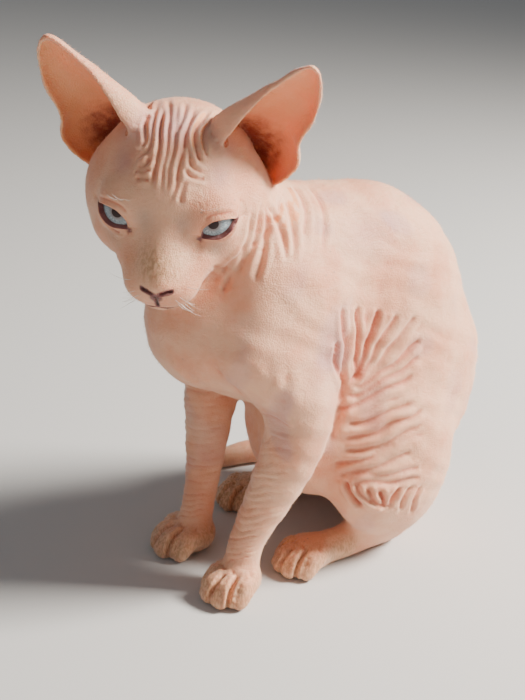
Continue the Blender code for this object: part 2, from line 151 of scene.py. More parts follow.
def normalsOf(mesh):
    flat = np.empty(len(mesh.vertices) * 3, np.float32)
    mesh.vertex_normals.foreach_get("vector", flat)
    return flat.reshape(-1, 3).astype(float)


def store(mesh, name, kind, values):
    # one value or one vector for each point, as an attribute of the mesh
    rows = mesh.attributes.new(name, kind, "POINT").data
    rows.foreach_set("vector" if kind == "FLOAT_VECTOR" else "value", values.astype(np.float32).ravel())


def shadeSmooth(mesh):
    mesh.polygons.foreach_set("use_smooth", np.ones(len(mesh.polygons), bool))


def inHead(points):
    turn = np.array(headFrame.inverted())
    return (points @ turn[:3, :3].T + turn[:3, 3]) / mm


def outOfHead(head):
    turn = np.array(headFrame)
    return head @ turn[:3, :3].T * mm + turn[:3, 3]


def inBody(points):
    return (points - np.array(bodyShift)) / mm


def outside(points, *nodes):
    # how far each point is outside the nearest of the nodes' boxes, in millimetres
    gaps = []
    for node in nodes:
        low, high = (np.array(corner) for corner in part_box(node))
        gaps.append(np.linalg.norm(np.maximum(0, np.maximum(low - points, points - high)), axis=1) / mm)
    return np.min(gaps, axis=0)


class Net:
    # the edges of a mesh, for smoothing what its points carry

    def __init__(self, mesh):
        flat = np.empty(len(mesh.edges) * 2, np.int32)
        mesh.edges.foreach_get("vertices", flat)
        self.a, self.b = flat.reshape(-1, 2).T
        self.size = len(mesh.vertices)
        ends = np.bincount(self.a, minlength=self.size) + np.bincount(self.b, minlength=self.size)
        self.count = np.maximum(ends, 1)[:, None]

    def mean(self, values):
        made = np.empty_like(values)
        for column in range(values.shape[1]):
            one = values[:, column]
            made[:, column] = np.bincount(self.a, one[self.b], self.size)
            made[:, column] += np.bincount(self.b, one[self.a], self.size)
        return made / self.count

    def smooth(self, values, rounds, need=None):
        # need says how many of the rounds each point takes part in
        for turn in range(rounds):
            step = 0.5 if need is None else 0.5 * np.clip(need - turn, 0, 1)[:, None]
            values = values + step * (self.mean(values) - values)
        return values


# Ears: their inner and outer edges from root to tip in the head's frame, and the depth of the cup between them
ears = {
    "inner": (
        (10, 14, 22), (18, 11, 38.5), (34, 11.5, 52.5), (46.5, 11, 63.8), (52.8, 10, 70), (57.5, 10, 72),
    ),
    "outer": (
        (34, 18, -10), (47, 13, 2), (55.5, 11, 16), (55, 11, 29),
        (61, 12, 44), (62.5, 11, 58), (61, 10, 68.5), (57.5, 10, 72),
    ),
    "depth": (17, 13.5, 8.5, 5, 1.5),
    "innerCurl": (150, 132, 104, 93, 90),
    "outerCurl": 98,
    "thickness": 1.7,
    "rows": 44,
    "columns": 38,
    "crowding": 0.75,  # below 1 the rows crowd towards the tip
    # gristle: ridges up the cup, with their place across it, width and height, and where they have faded
    "ridges": ((0.30, 0.04, 3.2), (0.42, 0.035, 2.2), (0.60, 0.05, 1.4)),
    "ridgeEnd": 0.62,
}


def earPoint(t, u, side):
    # a place on the middle of the ear's wall: t from root to tip, u from its inner edge to its outer one
    paths = []
    for edge in (ears["inner"], ears["outer"]):
        path = smoothPath(edge)
        where = t * (len(path) - 1)
        low = min(int(where), len(path) - 2)
        paths.append(path[low] + (where - low) * (path[low + 1] - path[low]))
    middle, half = (paths[0] + paths[1]) / 2, (paths[1] - paths[0]) / 2
    depth = np.interp(t, np.linspace(0, 1, len(ears["depth"])), ears["depth"])
    curl = math.radians(np.interp(t, np.linspace(0, 1, len(ears["innerCurl"])), ears["innerCurl"]))
    turn = -curl + u * (curl + math.radians(ears["outerCurl"]))
    ridge = sum(high * math.exp(-((u - at) / wide) ** 2) for at, wide, high in ears["ridges"])
    depth -= ridge * max(0, 1 - t / ears["ridgeEnd"])
    place = middle + math.sin(turn) * half
    place[1] += math.cos(turn) * depth
    return onHead(place, side)


def earShell(side):
    shape = bmesh.new()
    rows = []
    for t in np.linspace(0, 1, ears["rows"]) ** ears["crowding"]:
        rows.append([shape.verts.new(earPoint(t, u, side)) for u in np.linspace(0, 1, ears["columns"])])
    for low, high in zip(rows, rows[1:]):
        for a, b, c, d in zip(low, low[1:], high[1:], high):
            shape.faces.new((a, b, c, d) if side > 0 else (d, c, b, a))
    thing = newObject("ear", meshFrom(shape, "ear"))
    solidify = thing.modifiers.new("Thickness", "SOLIDIFY")
    solidify.thickness = ears["thickness"] * mm
    solidify.offset = 0
    return worked(thing)


# The skin before its folds: every node of flesh grown by a hair so that they fuse, then meshed anew and settled
skinForm = {
    "grow": 0.36, "lidBall": 11.75, "voxel": 1.0, "refill": 0.45, "triangles": 193000,
    # how many rounds of smoothing each part gets, and how far from the head's middle the body's begin
    "bodyRounds": 90, "headRounds": 14, "earRounds": 3, "pawRounds": 5,
    "headMiddle": (0, -4, 4), "headEnds": (44, 68), "skull": {"middle": (0, 6, 6), "half": (40, 40, 31)},
}
fleshNodes = [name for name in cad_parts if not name.startswith("eye")]


def fleshSoup():
    soup = bmesh.new()
    for name in fleshNodes:
        if name.startswith("ear"):
            continue
        copy = bmesh.new()
        copy.from_mesh(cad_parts[name].data)
        bmesh.ops.remove_doubles(copy, verts=copy.verts, dist=1e-6)
        copy.normal_update()
        for vertex, normal in [(v, v.normal.copy()) for v in copy.verts]:
            vertex.co += normal * skinForm["grow"] * mm
        mesh = meshFrom(copy, "copy")
        soup.from_mesh(mesh)
        bpy.data.meshes.remove(mesh)
    for side in (1, -1):
        bmesh.ops.create_uvsphere(
            soup, u_segments=48, v_segments=32, radius=skinForm["lidBall"] * mm,
            matrix=Matrix.Translation(onHead(eye["place"], side)),
        )
        shell = earShell(side)
        soup.from_mesh(shell.data)
        bpy.data.objects.remove(shell)
    return meshFrom(soup, "skin")


def dropScraps(mesh):
    # keeps the largest closed surface
    net = Net(mesh)
    label = np.arange(net.size)
    while True:
        low = np.minimum(label[net.a], label[net.b])
        new = label.copy()
        np.minimum.at(new, net.a, low)
        np.minimum.at(new, net.b, low)
        new = new[new]
        if (new == label).all():
            break
        label = new
    largest = np.bincount(label).argmax()
    scraps = np.flatnonzero(label != largest)
    if len(scraps):
        shape = bmesh.new()
        shape.from_mesh(mesh)
        shape.verts.ensure_lookup_table()
        bmesh.ops.delete(shape, geom=[shape.verts[i] for i in scraps], context="VERTS")
        shape.to_mesh(mesh)
        shape.free()


def smoothingNeed(points):
    head, skull = inHead(points), skinForm["skull"]
    fromHead = np.linalg.norm(head - np.array(skinForm["headMiddle"]), axis=1)
    few, many = skinForm["headRounds"], skinForm["bodyRounds"]
    need = few + (many - few) * smoothstep(*skinForm["headEnds"], fromHead)
    offSkull = np.linalg.norm((head - np.array(skull["middle"])) / np.array(skull["half"]), axis=1) * 35 - 35
    earShare = smoothstep(2, 8, offSkull) * (1 - smoothstep(0, 3, outside(points, "ear_left", "ear_right")))
    need = need + (skinForm["earRounds"] - need) * earShare
    return need + (skinForm["pawRounds"] - need) * (1 - smoothstep(0, 14, outside(points, *paws)))


skin = newObject("skin", fleshSoup())
remesh = skin.modifiers.new("Fuse", "REMESH")
remesh.mode = "VOXEL"
remesh.voxel_size = skinForm["voxel"] * mm
worked(skin)
dropScraps(skin.data)
points = pointsOf(skin.data)
need = smoothingNeed(points)
points = Net(skin.data).smooth(points, skinForm["bodyRounds"], need)
setPoints(skin.data, points)
points += normalsOf(skin.data) * (skinForm["refill"] * mm * need / skinForm["bodyRounds"])[:, None]
points[:, 2] = np.maximum(points[:, 2], 0)
setPoints(skin.data, points)
print("skin fused:", len(skin.data.polygons), "faces")


def subdivided(mesh, chosen):
    # the faces whose corners are all chosen, each made four
    shape = bmesh.new()
    shape.from_mesh(mesh)
    edges = [e for e in shape.edges if chosen[e.verts[0].index] and chosen[e.verts[1].index]]
    bmesh.ops.subdivide_edges(shape, edges=edges, cuts=1, use_grid_fill=True, smooth=0)
    bmesh.ops.triangulate(shape, faces=[face for face in shape.faces if len(face.verts) > 4])
    shape.to_mesh(mesh)
    shape.free()


# Where the skin is meshed finer: the face and the brow once, round the eyes and the nose once more
finer = {
    "face": {"radius": 66, "back": -2, "low": -34}, "brow": {"half": 26, "back": 36, "low": 22, "high": 44},
    "balls": (((22, -26, 6), 17), ((-22, -26, 6), 17), ((0, -53, -16), 14)),
    "settled": {"radius": 62, "rounds": 3},
}
x, y, z = inHead(points).T
face, brow = finer["face"], finer["brow"]
onFace = (y < face["back"]) & (np.sqrt(x * x + y * y + z * z) < face["radius"]) & (z > face["low"])
onBrow = (z > brow["low"]) & (np.abs(x) < brow["half"]) & (y < brow["back"]) & (z < brow["high"])
subdivided(skin.data, onFace | onBrow)
head = inHead(pointsOf(skin.data))
subdivided(skin.data, np.any(
    [np.linalg.norm(head - np.array(place), axis=1) < reach for place, reach in finer["balls"]], axis=0
))
points = pointsOf(skin.data)
head, settled = inHead(points), finer["settled"]
need = np.where(np.linalg.norm(head, axis=1) < settled["radius"], settled["rounds"], 0) * (head[:, 1] < 0)
points = Net(skin.data).smooth(points, settled["rounds"], need)
setPoints(skin.data, points)
print("skin refined:", len(skin.data.polygons), "faces")

# Lids: the opening in the frame of one eye (along its corners, up across it), and how the edge of each lid runs
lids = {
    "upper": (
        (-8.8, -0.9), (-6.8, 3.3), (-4, 5.4), (-0.5, 6.3), (3, 5.4), (6, 3.5), (8.6, 0.9), (10.7, -2),
    ),
    "lower": (
        (-8.8, -0.9), (-6, -1.5), (-3, -2.8), (0, -3.4), (3, -3.2), (5.5, -2.8), (8.2, -2.6), (10.7, -2),
    ),
    "rimHeight": 0.35, "rimWidth": 0.55, "reach": 16,
    # distances from the eye's middle: the bottom of the opening, and the skin that hugs the ball
    "inside": 8.6, "hug": (11.3, 11.9), "hugWidth": 3.2,
}


def eyeAxes(side):
    outer, inner = (np.array((side * c[0], c[1], c[2])) for c in (eye["outerCorner"], eye["innerCorner"]))
    along = (outer - inner) / np.linalg.norm(outer - inner)
    out = np.array((side * eye["lidsFace"][0], *eye["lidsFace"][1:]))
    out = out - out @ along * along
    out /= np.linalg.norm(out)
    up = np.cross(along, out)
    return along, up if up[2] > 0 else -up, out


def lidOpening(head, side):
    # the points near one eye in its own frame, and how far each is inside the opening
    along, up, out = eyeAxes(side)
    centre = np.array((side * eye["place"][0], eye["place"][1], eye["place"][2]))
    local = np.stack([(head - centre) @ axis for axis in (along, up, out)], axis=1)
    upper, lower = (smoothPath(lids[lid], 6) for lid in ("upper", "lower"))
    top = np.interp(local[:, 0], upper[:, 0], upper[:, 1])
    bottom = np.interp(local[:, 0], lower[:, 0], lower[:, 1])
    inside = np.minimum(top - local[:, 1], local[:, 1] - bottom)
    ends = np.minimum(local[:, 0] - lids["upper"][0][0], lids["upper"][-1][0] - local[:, 0])
    inside = np.where(ends < 0, np.minimum(inside, ends), np.minimum(inside, ends + 0.8))
    return local, centre, np.where(local[:, 2] > 0, inside, -9)


def openLids(points):
    head = inHead(points)
    for side in (1, -1):
        local, centre, inside = lidOpening(head, side)
        away = head - centre
        far = np.linalg.norm(away, axis=1)
        near = (far < lids["reach"]) & (local[:, 2] > -3)
        hole = smoothstep(-0.25, 0.25, inside) * near
        rim = np.exp(-(((inside + 0.55) / lids["rimWidth"]) ** 2)) * near * (inside < 0.3)
        # the lids hug the ball, and their edge is a little thicker
        hug = np.exp(-((np.minimum(inside, 0) / lids["hugWidth"]) ** 2)) * near * (inside > -8)
        wanted = far + hug * (np.clip(far, *lids["hug"]) - far) + lids["rimHeight"] * rim
        wanted = wanted + hole * (lids["inside"] - wanted)
        head = centre + away * (wanted / np.maximum(far, 1e-6))[:, None]
    return outOfHead(head)


setPoints(skin.data, openLids(points))
print("lids open")

# Folds: lines on the skin, each a valley between two soft rolls, in the frame of the head, body or paw.
# Where a fold has "mirror", each line also runs on the other side, at that number less its x
# Each fold's first number is how much painted shade, darker and redder, lies along its valley
folds = {
    "brow": {"shade": 0.30, "depth": 0.95, "width": 1.05, "frame": "head", "lines": (
        ((-16, 31, 26.5), (-16.5, 18, 32), (-15, 9, 33.5), (-12.5, -4, 33), (-15, -7.5, 31)),
        ((-12, 24, 31.5), (-10.5, 4, 35), (-10, -4, 34), (-11, -9.5, 31.5), (-17, -12.5, 28)),
        ((-9, 21, 33.5), (-6.5, -0.5, 35.5), (-6, -9.5, 33), (-5.5, -16.5, 30), (-6, -25, 24)),
        ((-9, 31, 29), (-3.5, 5.5, 36), (-2.5, -10, 33), (-2.5, -17, 30.5), (-2, -27.5, 22)),
        ((-3, 21.5, 34.5), (0, 0, 36), (0.5, -13.5, 32), (0.5, -18.5, 29.5), (0.5, -28, 21.5)),
        ((1, 24, 33.5), (1.5, 13.5, 36), (1.5, 5.5, 36.5), (1.5, 0, 36)),
        ((5, 21, 34.5), (5, 3, 36), (4.5, -11, 32.5), (4.5, -20.5, 27.5), (2.5, -28.5, 21)),
        ((12.5, 22, 32.5), (10, 11, 35), (8.5, 3, 35.5), (11, -8, 32.5), (14, -10.5, 30)),
        ((17, 28.5, 27.5), (14.5, 13, 33.5), (12.5, 5.5, 34.5), (14, -5, 32.5), (16.5, -7, 31)),
        ((6.5, -4, 34.5), (7.5, -9.5, 32.5), (9.5, -14, 30.5), (12, -15, 29), (16.5, -14.5, 27)),
        ((7, -15.5, 30), (9.5, -18, 28), (13, -18, 27), (16.5, -16.5, 26.5)),
        ((7.5, -21, 27), (6.5, -25, 24), (7, -28.5, 20.5)),
        ((-8.5, -13, 31), (-10.5, -16, 29), (-15, -16, 27.5)),
        ((-7, -18, 29), (-11.5, -18.5, 27.5), (-16, -17.5, 26.5)),
        ((-7.5, -22, 26.5), (-11.5, -20.5, 26), (-14.5, -20.5, 24.5)),
        ((-23.5, 22.5, 26), (-19.5, 9, 32), (-19.5, 1.5, 31)),
        ((23.5, 22.5, 26), (19.5, 9, 32), (19.5, 1.5, 31)),
    )},
    "round the eyes": {"shade": 0.6, "depth": 0.5, "width": 0.75, "frame": "head", "lines": (
        ((-32.5, -22.5, 8), (-30, -27, 4.5), (-22.5, -31, 0.5), (-20, -30, 1)),
        ((32.5, -23, 9.5), (31, -26, 5.5), (27.5, -29, 2), (22.5, -31, 1.5)),
        ((-32, -21, 12), (-26, -26.5, 15.5), (-20, -29.5, 15.5), (-16.5, -31, 12.5)),
        ((17, -30.5, 13.5), (21.5, -29, 16), (26.5, -27, 16), (30.5, -23, 14.5)),
    )},
    "nostrils": {"shade": 0.3, "depth": 1.9, "width": 0.65, "frame": "head", "mirror": 0, "lines": (
        ((-6.5, -53, -11), (-4.5, -54.5, -10.8), (-2.2, -55.7, -11.2)),
    )},
    "lips": {"shade": 0.3, "depth": 0.9, "width": 0.7, "frame": "head", "mirror": 0, "lines": (
        ((0, -56, -13.5), (0, -53, -19), (0, -50.5, -24)),
        ((0, -50, -24), (5, -49, -26), (10.5, -45, -27), (15, -38, -25.5), (19, -29, -22)),
    )},
    "jaw": {"shade": 0.3, "depth": 0.5, "width": 1.1, "frame": "head", "mirror": 0, "lines": (
        ((22, -34, -12), (25, -26, -18), (27, -16, -22)), ((33, -14, -14), (35, -4, -20), (33, 8, -24)),
    )},
    "neck": {"shade": 0.15, "depth": 0.95, "width": 1.45, "frame": "body", "lines": (
        ((26.5, 12.5, 213), (28, 8.5, 197), (28.5, 5.5, 188), (29.5, -1, 173)),
        ((30, 5.5, 210.5), (29.5, 4, 195.5), (28.5, 0.5, 188), (22.5, -7.5, 173.5)),
        ((25.5, 14.5, 210), (26.5, 15.5, 201), (33.5, 9.5, 184), (36.5, 5.5, 174.5)),
        ((24, 16, 211), (26, 21.5, 200.5), (31.5, 22.5, 191.5), (38.5, 20.5, 183)),
        ((16.5, 31, 209), (25.5, 30, 199.5), (32.5, 27.5, 191), (39, 22.5, 182.5)),
        ((29.5, 3, 194.5), (27.5, 2, 183.5), (26, -3, 174.5), (26.5, -7, 167)),
        ((2, 42, 206), (18, 40, 200), (30, 34, 190)), ((0, 52, 202), (20, 50, 195), (32, 42, 183)),
        ((-6, 42, 206), (-22, 38, 200), (-33, 28, 188)), ((-5, 52, 202), (-24, 48, 194), (-35, 38, 180)),
        ((-28, 22, 205), (-33, 14, 190), (-31, 4, 176)), ((-30, 10, 200), (-30, 0, 186), (-22, -10, 172)),
    )},
    "flank": {"shade": 0.7, "depth": 1.5, "width": 1.7, "frame": "body", "mirror": -8, "lines": (
        ((33.5, 63.5, 111), (41.5, 52.5, 125), (44, 48, 135), (44, 49, 142.5)),
        ((34, 64.5, 109), (38, 58, 123), (42.5, 54, 146.5), (42, 51.5, 161)),
        ((34, 65.5, 111.5), (34, 68.5, 122), (38, 64.5, 146), (37, 65.5, 156.5)),
        ((34, 67, 114), (34, 71.5, 121.5), (35, 77, 143.5), (35, 81, 152)),
        ((34, 68.5, 113), (35, 75.5, 121.5), (36, 87, 141), (35.5, 92, 149.5)),
        ((35, 70.5, 111.5), (36, 80, 119.5), (36.5, 97.5, 139), (36.5, 103, 145)),
        ((34.5, 68.5, 110), (36.5, 79, 114), (38, 101, 127), (37.5, 109, 132)),
        ((34, 64.5, 106), (36.5, 73.5, 107), (39, 96.5, 118), (39, 109, 122.5)),
        ((33.5, 60, 97), (36, 68, 100.5), (40, 90, 109), (40, 104, 114)),
    )},
    "haunch": {"shade": 0.4, "depth": 1.2, "width": 1.5, "frame": "body", "mirror": -15, "lines": (
        ((36.5, 65, 90), (39.5, 75, 92), (43.5, 87.5, 96), (45, 104, 101)),
        ((36.5, 64, 81.5), (42, 77, 85), (46, 90, 90), (46.5, 110, 96)),
        ((36.5, 63, 74.5), (42.5, 75, 76.5), (47.5, 88, 81.5), (49, 107, 89.5)),
        ((34, 60, 66.5), (40, 70, 69.5), (49.5, 93, 81), (50, 108, 84.5)),
        ((36.5, 64.5, 59.5), (42, 69.5, 64), (51, 90.5, 71.5), (52, 100, 74)),
        ((39.5, 66, 57.5), (45.5, 73, 63), (52.5, 95, 63.5), (53, 104, 65.5)),
        ((40.5, 66.5, 55), (48, 74.5, 59.5), (53.5, 95.5, 59), (53.5, 105, 59.5)),
    )},
    "knee": {"shade": 0.7, "depth": 1.8, "width": 1.25, "frame": "body", "mirror": -15, "lines": (
        ((39.5, 66.5, 59), (42, 67, 53), (45.5, 69, 48.5), (47.5, 73, 44.5)),
        ((44, 69.5, 58), (46.5, 71, 53), (49, 74.5, 49), (50.5, 78, 47.5)),
        ((48, 74, 57), (50, 76, 52), (51, 79.5, 47.5), (52, 83.5, 46)),
        ((51, 80, 55.5), (52, 83, 50.5), (52, 85, 43.5)),
        ((53, 92, 56), (53, 88.5, 50.5), (52, 86.5, 43.5)),
        ((53.5, 100, 54.5), (53, 96, 48.5), (51.5, 94, 38.5)),
        ((53.5, 107, 54), (52.5, 103.5, 46.5), (50.5, 103, 35.5)),
    )},
    "arm": {"shade": 0.35, "depth": 1.6, "width": 2.4, "frame": "body", "mirror": -1, "lines": (
        ((38, 56, 152), (40, 58, 130), (35, 62, 110), (33, 60, 94), (33, 58, 78)),
    )},
    "shoulder": {"shade": 0.15, "depth": 0.6, "width": 2.4, "frame": "body", "mirror": -1, "lines": (
        ((46.5, 5.5, 139), (47.5, 10, 129.5), (46.5, 13, 119), (42, 16, 109)),
        ((49, 16.5, 133), (49.5, 17.5, 124), (47.5, 17.5, 113.5)),
        ((26, -14, 140), (32, -4, 124), (30, 8, 112)), ((14, -24, 138), (18, -16, 122), (14, -4, 110)),
    )},
}
rings = {
    # round the front of the forelegs: height of the top one, gap, number, depth, and the leg's middle
    "foreleg": (100, 4.4, 15, 0.26, (33, 24)), "wrist": (33, 2.9, 5, 0.42, (25, 13)),
}
for name, (top, gap, count, depth, (x, y)) in rings.items():
    folds[name] = {"shade": 0.10, "depth": depth, "width": 0.7, "frame": "body", "lines": tuple(
        tuple(
            (side * x + 16 * math.sin(a), y - 16 * math.cos(a), top - gap * i + 3 * math.sin(a))
            for a in np.linspace(-1.9, 1.9, 7)
        ) for i in range(count) for side in (1, -1)
    )}
for name in paws:
    # the clefts between the toes, and a fold behind each knuckle, in the paw's own frame
    inner = -1 if name.endswith("left") else 1
    middles = [(-inner * (a[0] + b[0]) / 2, (a[1] + b[1]) / 2 + 1.5) for a, b in zip(toes, toes[1:])]
    folds["toes of " + name] = {"shade": 0.6, "depth": 2.5, "width": 0.95, "frame": name, "lines": tuple(
        tuple((x * wide, ahead - reach, z) for wide, ahead, z in (
            (0.85, 4, 18), (0.97, -1, 14.5), (1.03, -5, 9), (1.05, -7, 1),
        )) for x, reach in middles
    )}
    folds["swollen toes of " + name] = {"shade": 0.0, "depth": -1.2, "width": 3.0, "frame": name, "lines": tuple(
        ((-inner * a * 0.97, 3 - reach, 17), (-inner * a, -1 - reach, 15), (-inner * a, -5 - reach, 10))
        for a, reach, _ in toes
    )}
    folds["knuckles of " + name] = {"shade": 0.25, "depth": 0.6, "width": 0.8, "frame": name, "lines": tuple(
        ((-inner * a - 3, 6 - reach, 18), (-inner * a, 4.5 - reach, 18), (-inner * a + 3, 6 - reach, 18))
        for a, reach, _ in toes
    )}
# how far, in millimetres, the lines of these folds wander
wavy = dict.fromkeys(("knee", "arm", "flank", "haunch", "shoulder", "foreleg", "wrist"), 0.7)
wavy.update(brow=0.3, neck=0.3)
limits = {"deepest": -2.6, "highest": 1.2}  # of what all folds together move the skin by


def wander(path, size):
    # a slow wander that differs from place to place
    x, y, z = path.T
    across = np.sin(y / 4.1 + z / 3.3) + 0.5 * np.sin(x / 2.2 + z / 1.9)
    return size * np.stack([across, np.sin(z / 3.7 + x / 5.1), np.sin(x / 3.9 - y / 3.1)], axis=1)


def placed(place, point):
    if place == "head":
        return onHead(point)
    return onBody(point) if place == "body" else pawFrame(place) @ Vector(point)


def linesOf(fold):
    for line in fold["lines"]:
        yield line
        other = tuple((fold.get("mirror", 0) - x, y, z) for x, y, z in line)
        if "mirror" in fold and other != line:
            yield other


def carve(mesh):
    # every line is laid on the skin, and the skin near it moves in or out by how far it is from the line; its
    # valley also gets painted shade, darker and redder
    points, normals = pointsOf(mesh), normalsOf(mesh)
    tree = BVHTree.FromPolygons([tuple(p) for p in points], [tuple(f.vertices) for f in mesh.polygons])
    move, shade = np.zeros(len(points)), np.zeros(len(points))
    for name, fold in folds.items():
        depth, width = fold["depth"] * mm, fold["width"] * mm
        for line in linesOf(fold):
            path = smoothPath(line)
            if name in wavy:
                path += wander(path, wavy[name])
            share = 0.7 + 0.6 * ((abs(line[0][1] * 7.31 + line[-1][2] * 3.77)) % 1)
            onSkin = []
            for point in path:
                place, normal, _, _ = tree.find_nearest(placed(fold["frame"], point))
                onSkin.append((*place, *normal))
            onSkin = np.array(onSkin)
            low, high = onSkin[:, :3].min(axis=0) - 5 * width, onSkin[:, :3].max(axis=0) + 5 * width
            near = np.flatnonzero(((points > low) & (points < high)).all(axis=1))
            best, along = np.full(len(near), 1.0), np.zeros(len(near))
            for i, (a, b) in enumerate(zip(onSkin, onSkin[1:])):
                step = b[:3] - a[:3]
                t = np.clip((points[near] - a[:3]) @ step / max(step @ step, 1e-12), 0, 1)
                off = np.linalg.norm(points[near] - a[:3] - t[:, None] * step, axis=1)
                off = np.where(normals[near] @ a[3:] > 0.2, off, 1.0)
                along = np.where(off < best, (i + t) / (len(onSkin) - 1), along)
                best = np.minimum(best, off)
            ends = smoothstep(0, 0.16, along) * smoothstep(0, 0.16, 1 - along)
            ends = np.maximum(ends, 1.0 if name == "nostrils" else 0.08)
            valley = np.exp(-((best / width) ** 2))
            rolls = np.exp(-(((best - 2.3 * width) / (1.1 * width)) ** 2))
            ends *= share
            move[near] -= depth * ends * (valley - (0 if name in ("nostrils", "lips") else 0.5) * rolls)
            # painted shade along the valley, strongest at its bottom
            shade[near] = np.maximum(shade[near], fold["shade"] * ends * np.exp(-((best / (1.2 * width)) ** 2)))
    move = np.clip(move, limits["deepest"] * mm, limits["highest"] * mm)
    points += normals * move[:, None]
    points[:, 2] = np.maximum(points[:, 2], 0)
    setPoints(mesh, points)
    return shade


def loosened(mesh):
    # slack skin: broad, shallow wrinkles that run across the body, strongest on the trunk
    points, normals = pointsOf(mesh), normalsOf(mesh)
    body, head = inBody(points), inHead(points)
    x, y, z = body.T
    sway = 1.3 * np.sin(x / 9.0 + y / 17.0) + 0.9 * np.sin(x / 5.3 - z / 8.0) + 0.7 * np.sin(y / 6.1 + z / 11.0)
    waves = np.sin((0.45 * y + z) / 2.3 + sway) + 0.6 * np.sin((y - 0.4 * z) / 3.1 - 1.3 * sway)
    trunk = smoothstep(60, 78, np.linalg.norm(head, axis=1)) * smoothstep(26, 50, z)
    points += normals * (0.24 * mm * trunk * waves)[:, None]
    setPoints(mesh, points)


loosened(skin.data)
# the painted shade of the creases, kept on the skin for its colours
foldTint = carve(skin.data)
store(skin.data, "foldTint", "FLOAT", foldTint)
skin.data.calc_loop_triangles()
thin = skin.modifiers.new("Thin", "DECIMATE")
thin.ratio = skinForm["triangles"] / len(skin.data.loop_triangles)
worked(skin)
print("folds carved:", len(skin.data.polygons), "triangles")

# Colours that the skin and its down share, painted from where a point is and how hollow the skin is there; the
# creases and hollows, the ear pits, the places beside the eyes and the slits of nose and mouth get painted
# shade
points, normals = pointsOf(skin.data), normalsOf(skin.data)
head, body = inHead(points), inBody(points)
net = Net(skin.data)
# how concave the skin is; the hollows get painted shade
hollow = ((net.smooth(points, 3) - points) * normals).sum(axis=1) / mm
hollow = net.smooth(np.clip(hollow / 0.10, -1, 1.5)[:, None], 1)[:, 0]
# the painted shade of the creases, read back from the skin
fold = np.empty(len(points), np.float32)
skin.data.attributes["foldTint"].data.foreach_get("value", fold)


def spot(place, size, where=None):
    # a soft patch round a place, in the head's frame unless told otherwise
    where = head if where is None else where
    return np.exp(-(np.linalg.norm((where - np.array(place)) / np.array(size), axis=1) ** 2))


def both(place, size):
    return np.maximum(spot(place, size), spot((-place[0], place[1], place[2]), size))


def earEdge(u, side, steps=24):
    return np.array([
        np.array(headFrame.inverted() @ earPoint(t, u, side)) / mm for t in np.linspace(0.02, 0.98, steps)
    ])


def earInside():
    # 1 within the cup of an ear and 0 on its back, and how much painted shade, dark red, falls on a point deep
    # in the cup
    inside, recessShade = np.zeros(len(points)), np.zeros(len(points))
    for side in (1, -1):
        inn, out = earEdge(0.02, side), earEdge(0.98, side)
        axis = (inn + out) / 2
        near = np.flatnonzero((head[:, 0] * side > 6) & (head[:, 2] > -16) & (head[:, 1] > -6))
        far = np.linalg.norm(head[near][:, None] - axis[None], axis=2)
        row = far.argmin(axis=1)
        normal = normals[near] @ np.array(headFrame.inverted())[:3, :3].T
        inward = ((axis[row] - head[near]) * normal).sum(axis=1)
        reach = np.linalg.norm(out - inn, axis=1)[row]
        wall = smoothstep(0.5, 2.5, inward) * (far.min(axis=1) < reach * 0.95)
        inside[near] = np.maximum(inside[near], wall)
        t = row / (len(axis) - 1)
        # the painted shade lies in the pit at the ear's root and along its inner wall
        depth = np.exp(-(((t - 0.10) / 0.24) ** 2)) * np.clip((head[near][:, 1] - 14) / 14, 0, 1)
        medial = np.exp(-((np.linalg.norm(head[near] - inn[row], axis=1) / 11) ** 2))
        recessShade[near] = np.maximum(recessShade[near], wall * np.maximum(depth, 0.75 * medial * (t < 0.5) * (t > 0.03)))
    return inside, recessShade


inside, recessShade = earInside()
eyeRim, tears = np.zeros(len(points)), np.zeros(len(points))
for side in (1, -1):
    local, centre, opening = lidOpening(head, side)
    near = (np.linalg.norm(head - centre, axis=1) < 14) & (local[:, 2] > 0)
    low = 0.5 + 0.3 * (local[:, 1] < 0)  # the dark edge is wider on the lower lid
    eyeRim = np.maximum(eyeRim, near * smoothstep(-low, -0.3 * low, opening) * (opening < 9))
    fromCorner = np.linalg.norm(local[:, :2] - np.array((-9.6, -1.4)), axis=1)
    tears = np.maximum(tears, near * np.exp(-((fromCorner / 2.0) ** 2)))
# near-black painted shade in the nostrils, along the mouth's seam and under the nose
noseAndMouthShade = 0.9 * spot((0, -55.2, -14), (2.6, 4, 3.2))
close = np.flatnonzero(np.linalg.norm(head - np.array((0, -46, -18)), axis=1) < 34)
towardsCheek = smoothstep(6, 14, np.abs(head[:, 0]))
for name, wide in (("lips", 1.2), ("nostrils", 1.5)):
    for line in linesOf(folds[name]):
        far = np.full(len(points), 99.0)
        far[close] = np.linalg.norm(head[close][:, None] - smoothPath(line)[None], axis=2).min(axis=1)
        noseAndMouthShade = np.maximum(noseAndMouthShade, np.exp(-((far / wide) ** 2)) * (1 - 0.85 * towardsCheek))
toeFur = np.exp(-((outside(points, *paws) / 6) ** 2)) * smoothstep(26, 10, body[:, 2])
trunk = smoothstep(58, 74, np.linalg.norm(head, axis=1))
wave = np.sin(body[:, 0] / 7.0 + 2 * np.sin(body[:, 2] / 13.0))
wave *= np.sin(body[:, 1] / 9.0 + np.sin(body[:, 0] / 8.0))

